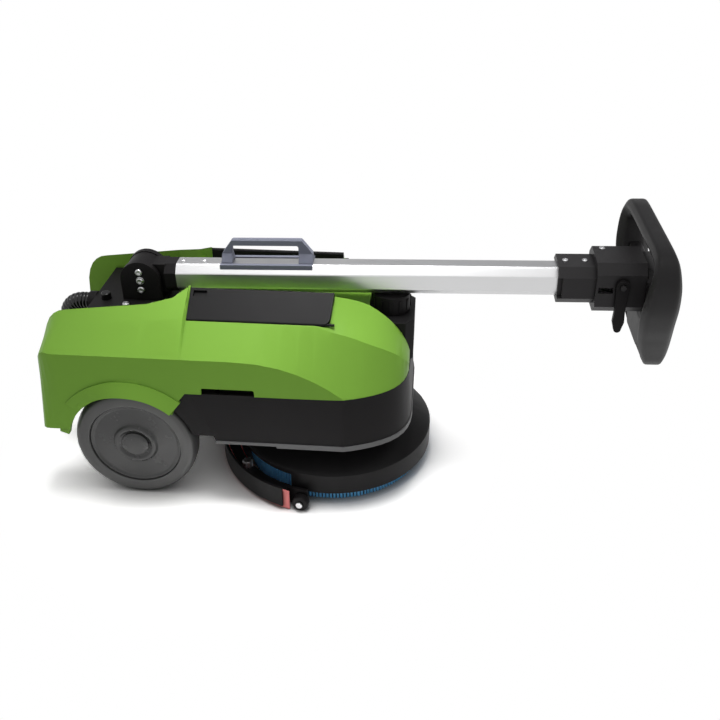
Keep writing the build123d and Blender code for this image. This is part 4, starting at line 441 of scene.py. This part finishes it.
def moulded(name, colour, rough, grain, depth, specular):
    """Moulded plastic: a fine grain in the normal, slow drifts of colour and gloss over the surface, and
    painted shade that darkens its colour in crevices."""
    finish = Finish(name, Specular_IOR_Level=specular)
    mottle = OTHER_MOTTLE.get(name, MOTTLE)
    place = finish.place()
    drift = finish.noise(place, DRIFT_SCALE, detail=3.0)
    fine = finish.noise(place, grain, detail=2.0)
    gloss = finish.noise(place, GLOSS_SCALE, detail=4.0, roughness=0.6)
    tone = finish.mix(drift, shade(colour, 1.0 - mottle), shade(colour, 1.0 + mottle))
    # Painted shade: the colour turns darker where ambient occlusion finds a crevice, gap or recess
    deep = shade(colour, OTHER_CREVICE_SHADE.get(name, CREVICE_SHADE_TONE))
    return finish.wear(
        Base_Color=finish.mix(finish.occlusion(CREVICE_SHADE_REACH), deep, tone),
        Roughness=gloss * (2 * GLOSS_SPREAD) + (rough - GLOSS_SPREAD),
        Normal=finish.bump(fine, GRAIN_STRENGTH, depth),
    )


def drawn_metal(name, colour, rough):
    """Drawn metal: long fine streaks along the piece in the gloss and the normal."""
    finish = Finish(name, Metallic=1.0)
    streak = finish.noise(finish.place(STREAK_STRETCH), 1.0, detail=4.0, roughness=0.65)
    drift = finish.noise(finish.place(), METAL_DRIFT, detail=3.0)
    return finish.wear(
        Base_Color=finish.mix(drift, *(shade(colour, tone) for tone in METAL_TONES)),
        Roughness=streak * (2 * STREAK_SPREAD) + (rough - STREAK_SPREAD),
        Normal=finish.bump(streak, STREAK_STRENGTH, STREAK_DEPTH),
    )


def turned_steel(name, colour, rough):
    """Machined steel: small scratches in the normal, and drifts of colour and gloss."""
    finish = Finish(name, Metallic=1.0)
    place = finish.place()
    scratch = finish.noise(place, SCRATCH_SCALE, detail=3.0)
    drift = finish.noise(place, STEEL_DRIFT, detail=3.0)
    return finish.wear(
        Base_Color=finish.mix(drift, *(shade(colour, tone) for tone in STEEL_TONES)),
        Roughness=drift * (2 * STEEL_SPREAD) + (rough - STEEL_SPREAD),
        Normal=finish.bump(scratch, SCRATCH_STRENGTH, SCRATCH_DEPTH),
    )


FINISHES = {name: moulded(name, *row) for name, row in MOULDED.items()}
FINISHES["pole_aluminium"] = drawn_metal("pole_aluminium", ALUMINIUM, ALUMINIUM_ROUGH)
FINISHES["steel"] = turned_steel("steel", STEEL, STEEL_ROUGH)


def add_piece(name, mesh, node, finish=None):
    """Puts a finished mesh in place of a node, riding on its body, with its slot's finish or another."""
    piece = bpy.data.objects.new(name, mesh)
    bpy.context.scene.collection.objects.link(piece)
    mesh.materials.clear()
    mesh.materials.append(FINISHES[finish or SLOT_OF[node]])
    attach(piece, BODY_OF[node])
    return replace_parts(piece, node)


def ease(value, start, end):
    """A smooth rise from 0 at the start to 1 at the end: 3 t^2 - 2 t^3 of the share t of the way."""
    t = np.clip((value - start) / (end - start), 0.0, 1.0)
    return t ** 2 * (3 - 2 * t)


def settle_hood(vertices):
    """Draws the hood's upper corners ahead of the rear bay outwards and down, the more the higher they stand,
    and lets the lip behind the lids down to the lids."""
    x, y, z = np.array([vertex.co for vertex in vertices]).T / MM
    off = np.abs(y)
    high = np.clip((z - CORNER_FOOT_Z) / (CORNER_TOP_Z - CORNER_FOOT_Z), 0.0, 1.0)
    corner = np.exp(-((x - CORNER_X) / CORNER_REACH) ** 2) * high * ease(off, CORNER_FAR_Y, CORNER_NEAR_Y)
    lip = ease(x, LIP_START_X, LIP_X) * (x < LIP_END_X) * ease(off, LIP_FAR_Y, LIP_NEAR_Y) * high
    y = y + np.sign(y) * CORNER_OUT * corner
    z = z - CORNER_DOWN * corner - LIP_DOWN * lip
    for vertex, spot in zip(vertices, np.stack((x, y, z), axis=1) * MM):
        vertex.co = spot


def dressed(node):
    """The node's own solid with its loose triangles joined, flat faces merged and its edges rounded; the hood
    is settled on the way."""
    mesh = NODES[node].data.copy()
    joined = bmesh.new()
    joined.from_mesh(mesh)
    bmesh.ops.remove_doubles(joined, verts=joined.verts, dist=JOIN_SOLID)
    if node == "upper_hood":
        settle_hood(joined.verts)
    bmesh.ops.dissolve_limit(joined, angle_limit=FLAT_TURN, verts=joined.verts, edges=joined.edges)
    for face in joined.faces:
        face.smooth = True
    joined.to_mesh(mesh)
    joined.free()
    mesh.set_sharp_from_angle(angle=SHARP_TURN)
    piece = add_piece("dressed_" + node, mesh, node, OTHER_FINISH.get(node))
    bevel = piece.modifiers.new("rounded_edges", "BEVEL")
    bevel.width = WIDE_EDGE.get(node, EDGE)
    bevel.segments = WIDE_STEPS if node in WIDE_EDGE else EDGE_STEPS
    bevel.limit_method = "ANGLE"
    bevel.angle_limit = SHARP_TURN
    bevel.use_clamp_overlap = True
    even = piece.modifiers.new("even_normals", "WEIGHTED_NORMAL")
    even.mode = "FACE_AREA"
    even.weight = EVEN_WEIGHT
    even.keep_sharp = True


def grid_faces(rows, columns, close_rows, close_columns):
    """Four-sided faces between neighbouring points of a grid, as an array of point numbers."""
    row = np.arange(rows if close_rows else rows - 1)[:, None]
    column = np.arange(columns if close_columns else columns - 1)[None, :]
    next_row = (row + 1) % rows
    next_column = (column + 1) % columns
    corners = (row * columns + column, next_row * columns + column,
               next_row * columns + next_column, row * columns + next_column)
    return np.stack(np.broadcast_arrays(*corners), axis=-1).reshape(-1, 4)


def closed_mesh(name, points, faces, near, smooth):
    """A mesh of points in millimetres and faces, joined where points are near, with its faces outwards."""
    mesh = bpy.data.meshes.new(name)
    mesh.from_pydata((points.reshape(-1, 3) * MM).tolist(), [], faces.tolist())
    joined = bmesh.new()
    joined.from_mesh(mesh)
    bmesh.ops.remove_doubles(joined, verts=joined.verts, dist=near)
    bmesh.ops.recalc_face_normals(joined, faces=joined.faces)
    for face in joined.faces:
        face.smooth = smooth
    joined.to_mesh(mesh)
    joined.free()
    return mesh


def surface(name, points, close_rows=False, close_columns=False, turn=SURFACE_TURN):
    """A smooth mesh through a grid of points in millimetres, sharp where its faces turn by more than turn."""
    faces = grid_faces(*points.shape[:2], close_rows, close_columns)
    mesh = closed_mesh(name, points, faces, JOIN_SURFACE, True)
    mesh.set_sharp_from_angle(angle=radians(turn))
    return mesh


def softened(corners, cut, steps=5):
    """A closed outline with each corner P drawn as the parabola (1-t)^2 A + 2t(1-t) P + t^2 B, where A and B
    lie a cut back from P along its two edges."""
    corners = np.asarray(corners, dtype=float)
    cut = np.broadcast_to(np.asarray(cut, dtype=float), len(corners))[:, None]
    to_last = np.roll(corners, 1, axis=0) - corners
    to_next = np.roll(corners, -1, axis=0) - corners
    a = corners + to_last * (cut / np.linalg.norm(to_last, axis=1, keepdims=True))
    b = corners + to_next * (cut / np.linalg.norm(to_next, axis=1, keepdims=True))
    t = np.linspace(0.0, 1.0, steps)[None, :, None]
    curve = (1 - t) ** 2 * a[:, None] + 2 * t * (1 - t) * corners[:, None] + t ** 2 * b[:, None]
    return curve.reshape(-1, corners.shape[1])


def through_ring(stations, steps):
    """A closed smooth run through stations: between P1 and P2 it is the cubic whose slopes at them are half
    of P2 - P0 and half of P3 - P1."""
    p0, p1, p2, p3 = (np.roll(stations, shift, axis=0)[:, None, :] for shift in (1, 0, -1, -2))
    t = (np.arange(steps) / steps)[None, :, None]
    run = p1 + 0.5 * t * (p2 - p0) + t ** 2 * (p0 - 2.5 * p1 + 2 * p2 - 0.5 * p3)
    run = run + t ** 3 * (1.5 * (p1 - p2) + 0.5 * (p3 - p0))
    return run.reshape(-1, stations.shape[1])


def seen_rays(tree):
    """1 for what is seen, straight, in a mirror or through glass, and 0 for light that bounces."""
    path = tree.nodes.new("ShaderNodeLightPath")
    camera, mirror, glass = (Val(tree, path.outputs[ray]) for ray in SEEN_RAYS)
    return camera + mirror + glass


def stage_sheet(name, points):
    """A flat four-sided sheet of the studio through its corners."""
    mesh = bpy.data.meshes.new(name)
    mesh.from_pydata(points, [], [(0, 1, 2, 3)])
    sheet = bpy.data.objects.new(name, mesh)
    bpy.context.scene.collection.objects.link(sheet)
    return sheet


def make_floor():
    """A pale floor that takes the machine's shadow, is plain white to the eye away from it, and has a painted
    shadow that darkens it the more the machine closes it in."""
    half = FLOOR_HALF
    points = [(-half, -half, 0), (half, -half, 0), (half, half, 0), (-half, half, 0)]
    floor = stage_sheet("studio_floor", points)
    floor.location.z = -FLOOR_DROP
    finish = Finish("studio_floor", Roughness=FLOOR_ROUGH, Specular_IOR_Level=0.0)
    place = finish.node("NewGeometry", output="Position")
    offset = finish.node("VectorMath", {"operation": "DISTANCE"}, {0: place, 1: FLOOR_MIDDLE}, output="Value")
    away = finish.node("MapRange", {"interpolation_type": "SMOOTHSTEP"},
                       {"Value": offset, "From Min": FLOOR_NEAR, "From Max": FLOOR_NEAR + FLOOR_FADE})
    # Painted shadow: ambient occlusion darkens the floor's colour and its white glow the more the machine
    # closes it in
    near = finish.occlusion(SHADE_REACH) ** SHADE_DEPTH
    seen = seen_rays(finish.tree)
    finish.wear(Base_Color=finish.mix(seen, FLOOR_BOUNCE, finish.mix(near, BLACK, FLOOR_SEEN)))
    white = finish.node("Emission", inputs={"Color": finish.mix(near, BLACK, WHITE), "Strength": 1.0})
    lit = Val(finish.tree, finish.shader.outputs[0])
    blend = finish.node("MixShader", inputs={0: away * seen, 1: lit, 2: white})
    finish.tree.links.new(blend.socket, finish.tree.nodes["Material Output"].inputs["Surface"])
    floor.data.materials.append(finish.material)


def make_world():
    """An even world, white where it is seen and dimmer as light."""
    world = bpy.data.worlds.new("studio_world")
    world.use_nodes = True
    tree = world.node_tree
    background = tree.nodes["Background"]
    background.inputs["Color"].default_value = WHITE
    strength = seen_rays(tree) * (1.0 - WORLD_STRENGTH) + WORLD_STRENGTH
    tree.links.new(strength.socket, background.inputs["Strength"])
    bpy.context.scene.world = world


def make_card():
    """A grey card behind the machine that only gloss shows."""
    points = [(-CARD_HALF, CARD_BACK, CARD_LOW), (CARD_HALF, CARD_BACK, CARD_LOW),
              (CARD_HALF, CARD_BACK, CARD_HIGH), (-CARD_HALF, CARD_BACK, CARD_HIGH)]
    card = stage_sheet("studio_card", points)
    card.visible_camera = False
    card.visible_diffuse = False
    card.visible_shadow = False
    finish = Finish("studio_card", Base_Color=BLACK, Emission_Color=CARD_GREY, Emission_Strength=1.0,
                    Specular_IOR_Level=0.0)
    card.data.materials.append(finish.material)


def make_lamps():
    """Square soft lamps, each turned from its place to its aim."""
    for name, (spot, aim, size, power, spread) in LAMPS.items():
        data = bpy.data.lights.new(name, "AREA")
        data.size = size
        data.energy = power
        data.spread = radians(spread)
        lamp = bpy.data.objects.new(name, data)
        lamp.location = spot
        lamp.rotation_euler = (Vector(aim) - Vector(spot)).to_track_quat("-Z", "Y").to_euler()
        bpy.context.scene.collection.objects.link(lamp)


def turned(name, profile, spot, axis, around=WHEEL_ROUND, flip=1.0, lay=None):
    """A closed profile of radius and height carried round an axis: the point at angle a is the spot plus
    radius times (cos a, sin a) in the plane across the axis, plus height along it."""
    profile = np.asarray(profile)
    outline = softened(profile[:, :2], profile[:, 2])
    angle = np.linspace(0.0, 2 * pi, around, endpoint=False)[:, None]
    radius, height = outline[None, :, 0], outline[None, :, 1] * flip + 0 * angle
    first, second = radius * np.cos(angle), radius * np.sin(angle)
    points = np.stack((first, height, second) if axis == "Y" else (first, second, height), axis=-1)
    points = points + np.asarray(spot)
    points = lay(points) if lay else points
    return surface(name, points, close_rows=True, close_columns=True, turn=LATHE_TURN)


def make_wheels():
    """The two wheels' tyres, rims and caps, turned from rounded profiles; the right ones are mirrored."""
    spot = (AXLE[0] / MM, 0.0, AXLE[2] / MM)
    for side, flip in (("left", 1.0), ("right", -1.0)):
        for part, profile in (("tyre", TYRE), ("wheel_rim", RIM), ("hub_cap", HUB_CAP)):
            node = part + "_" + side
            add_piece(node + "_turned", turned(node, profile, spot, "Y", flip=flip), node)


def make_brush():
    """Strands in tufts: strand k of a tuft at angle a stands at the ring's radius, set off from the tuft's
    middle by a small circle that widens from the root to the tip, and is a thin five-sided prism with closed
    ends."""
    rng = np.random.default_rng(BRUSH_SEED)
    strands = []
    for ring_r, count in BRUSH_RINGS:
        tuft = np.repeat(np.arange(count) * (2 * pi / count), TUFT_STRANDS)
        around = np.tile(np.arange(TUFT_STRANDS) * (2 * pi / TUFT_STRANDS), count)
        around = around + rng.uniform(-TUFT_STRAY, TUFT_STRAY, tuft.size)
        strands.append(np.stack((np.full(tuft.size, ring_r), tuft, around), axis=1))
    ring_r, tuft, around = np.concatenate(strands).T
    share = np.array(STRAND_SHARE)[None, :]
    width = np.array(STRAND_WIDTH)[None, :] * STRAND_R
    lean = TUFT_ROOT + TUFT_SPREAD * share * rng.uniform(LEAN_LEAST, 1.0, (tuft.size, 1))
    tip_z = rng.uniform(*BRISTLE_TIP_Z, (tuft.size, 1))
    height = BRISTLE_ROOT_Z + (tip_z - BRISTLE_ROOT_Z) * share
    out = ring_r[:, None] + lean * np.cos(around)[:, None]
    aside = lean * np.sin(around)[:, None]
    side = np.arange(STRAND_SIDES) * (2 * pi / STRAND_SIDES)
    out = out[..., None] + width[..., None] * np.cos(side)
    aside = aside[..., None] + width[..., None] * np.sin(side)
    turn = tuft[:, None, None]
    x = out * np.cos(turn) - aside * np.sin(turn) + BRUSH[0] / MM
    y = out * np.sin(turn) + aside * np.cos(turn)
    points = np.stack((x, y, np.broadcast_to(height[..., None], x.shape)), axis=-1)
    rows = points.shape[1]
    faces = grid_faces(rows, STRAND_SIDES, False, True)
    faces = (faces[None] + (np.arange(len(points)) * rows * STRAND_SIDES)[:, None, None]).reshape(-1, 4)
    mesh = closed_mesh("bristles", points, faces, JOIN_STRAND, False)
    add_piece("bristle_tufts", mesh, "brush_bristles")
    back = turned("brush_back", BRUSH_BACK, (BRUSH[0] / MM, 0.0, 0.0), "Z")
    add_piece("bristle_back", back, "brush_bristles")


def make_hose():
    """A corrugated tube about a run, a quarter bend and a drop: its outside radius is a valley plus a rounded
    rib that repeats along its length, its inside radius is plain, and the two meet at both ends."""
    bend = HOSE_BEND_R * pi / 2
    length = HOSE_RUN + bend + HOSE_DROP
    d = np.linspace(0.0, length, HOSE_STEPS)
    ribs = np.floor((length - 2 * HOSE_PLAIN) / HOSE_PITCH) * HOSE_PITCH
    place = (d - HOSE_PLAIN) / HOSE_PITCH
    rib = np.sqrt(np.abs(np.sin(pi * place))) * ((d > HOSE_PLAIN) & (d < HOSE_PLAIN + ribs))
    d = np.concatenate((d, d[::-1]))
    radius = np.concatenate((HOSE_VALLEY_R + HOSE_RIB_H * rib, np.full(rib.size, HOSE_BORE_R)))
    a = np.clip((d - HOSE_RUN) / HOSE_BEND_R, 0.0, pi / 2)
    x = HOSE_START_X - np.minimum(d, HOSE_RUN) - HOSE_BEND_R * np.sin(a)
    z = HOSE_Z - HOSE_BEND_R * (1 - np.cos(a)) - np.maximum(0.0, d - HOSE_RUN - bend)
    around = np.linspace(0.0, 2 * pi, HOSE_ROUND, endpoint=False)[None, :]
    ring = radius[:, None] * np.cos(around)
    points = np.stack((x[:, None] - ring * np.sin(a)[:, None], radius[:, None] * np.sin(around),
                       z[:, None] + ring * np.cos(a)[:, None]), axis=-1)
    mesh = surface("hose", points, close_rows=True, close_columns=True, turn=HOSE_TURN)
    add_piece("hose_ribbed", mesh, "drain_hose", "hose_black")


def on_pole(points):
    """Points given as place along the pole from its hinge, across and up, set into the folded pole's place:
    the place along and the height are turned by the pole's tilt about the hinge."""
    s, y, z = points[..., 0], points[..., 1], points[..., 2]
    x = HINGE[0] / MM + s * cos(FOLD_TILT) - z * sin(FOLD_TILT)
    up = HINGE[2] / MM + s * sin(FOLD_TILT) + z * cos(FOLD_TILT)
    return np.stack((x, y, up), axis=-1)


def make_pole():
    """The pole: an octagon with broad rounds at its top and bottom, drawn along s, and the same drawn smaller
    as its bore."""
    corners = np.asarray(POLE_CORNERS)
    outline = softened(corners[:, :2], corners[:, 2], steps=POLE_STEPS)
    ends = ((POLE_START, 1.0), (POLE_END, 1.0), (POLE_END, POLE_BORE), (POLE_START, POLE_BORE))
    points = np.stack([np.column_stack((np.full(len(outline), s), outline * share)) for s, share in ends])
    mesh = surface("pole", on_pole(points), close_rows=True, close_columns=True)
    add_piece("pole_drawn", mesh, "pole_tube")


def make_heads():
    """The heads of the hinge's bolts and pin and of the pole's screws, turned from one outline each."""
    hinge = HINGE / MM
    add_piece("pin_shaft", turned("pin", PIN, hinge, "Y", HEAD_ROUND), "hinge_pin")
    for side in (1.0, -1.0):
        for rise in (0.0, BOLT_RISE, -BOLT_RISE):
            spot = hinge + (0.0, side * CHEEK_Y, rise)
            mesh = turned("cheek_head", BOLT, spot, "Y", HEAD_ROUND, flip=side)
            add_piece("cheek_head", mesh, "hinge_bolts" if rise else "hinge_pin")
        for along in (FOOT_BOLT_X, -FOOT_BOLT_X):
            spot = (hinge[0] + along, side * FOOT_BOLT_Y, FOOT_BOLT_Z)
            add_piece("foot_head", turned("foot_head", BOLT, spot, "Z", HEAD_ROUND), "hinge_bolts")
    for spot in SCREW_SPOTS:
        mesh = turned("screw_head", SCREW, spot, "Z", HEAD_ROUND, lay=on_pole)
        add_piece("screw_head", mesh, "pole_screws")


def plate(name, corners, thick, edge):
    """A plate across the pole from the sleeve's end: its outline with softened corners at rows of places
    along the pole, drawn in by an edge at both faces and closed by its middle."""
    outline = softened(corners, PLATE_CUT)
    middle = outline.mean(axis=0)
    rim = 1.0 - edge / np.abs(outline - middle).max()
    shares = np.array((0.0, rim, 1.0, 1.0, rim, 0.0))[:, None, None]
    s = SLEEVE_END + np.array((0.0, 0.0, edge, thick - edge, thick, thick))[:, None]
    flat = middle + (outline - middle) * shares
    points = np.stack((np.broadcast_to(s, flat.shape[:2]), flat[..., 0], flat[..., 1]), axis=-1)
    return surface(name, on_pole(points), close_columns=True)


def make_loop():
    """The steering loop: an outline carried round a smooth ring of stations, each set square to the ring's
    way and scaled by the station's depth and thickness, with its hub and web behind the panel."""
    ring = np.concatenate((LOOP_HALF, (LOOP_HALF[1:-1] * LOOP_MIRROR)[::-1]))
    run = through_ring(ring, LOOP_STEPS)
    way = np.roll(run[:, :2], -1, axis=0) - np.roll(run[:, :2], 1, axis=0)
    way = way / np.linalg.norm(way, axis=1, keepdims=True)
    outward = np.stack((-way[:, 1], way[:, 0]), axis=1)
    bar = softened(LOOP_BAR, LOOP_BAR_CUT, steps=LOOP_BAR_STEPS)
    s = SLEEVE_END + run[:, 2:3] + run[:, 3:4] * bar[None, :, 0]
    off = run[:, 4:5] * bar[None, :, 1]
    across = run[:, 0:1] + outward[:, 0:1] * off
    up = run[:, 1:2] + outward[:, 1:2] * off
    points = on_pole(np.stack((s, across, up), axis=-1))
    add_piece("loop_bar", surface("loop", points, close_rows=True, close_columns=True), "steering_loop")
    web = WEB_HALF + tuple((-y, z) for y, z in reversed(WEB_HALF))
    add_piece("loop_web", plate("web", web, WEB_T, WEB_EDGE), "steering_loop")
    add_piece("loop_hub", plate("hub", HUB_CORNERS, HUB_T, HUB_EDGE), "steering_loop")


def make_flares():
    """The swelling over each arch: at angle a about the axle and a share t of its width out from the arch it
    stands off the hood's side by out times (1 - t), eased away to nothing towards the rear, and its back is
    sunk into the hood."""
    angle = np.linspace(FLARE_FRONT, FLARE_REAR, FLARE_STEPS)[:, None]
    outer, inner = np.linspace(1.0, 0.0, FLARE_ROWS), np.linspace(0.0, 1.0, FLARE_ROWS)
    stand = FLARE_SIDE + FLARE_OUT * ease(angle, FLARE_REAR, FLARE_FULL) * (1.0 - outer)
    sunk = np.full((FLARE_STEPS, FLARE_ROWS), FLARE_SIDE - FLARE_ROOT)
    stand = np.concatenate((stand, sunk), axis=1)
    r = ARCH_R + FLARE_W * np.concatenate((outer, inner))
    x = AXLE[0] / MM + r * np.cos(angle)
    z = AXLE[2] / MM + r * np.sin(angle)
    for side, name in ((1.0, "left"), (-1.0, "right")):
        points = np.stack((x, stand * side, z), axis=-1)
        ends = [np.broadcast_to(row.mean(axis=0), row.shape)[None] for row in (points[0], points[-1])]
        points = np.concatenate((ends[0], points, ends[1]))
        add_piece("flare_" + name, surface("flare", points, close_columns=True), "upper_hood")


make_camera()
make_floor()
make_world()
make_card()
make_lamps()
make_wheels()
make_brush()
make_hose()
make_pole()
make_heads()
make_loop()
MADE = {node for piece in bpy.data.objects for node in piece.get("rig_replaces", [])}
for node in NODES:
    if node not in MADE:
        dressed(node)
make_flares()

bpy.context.scene.view_settings.view_transform = "Standard"
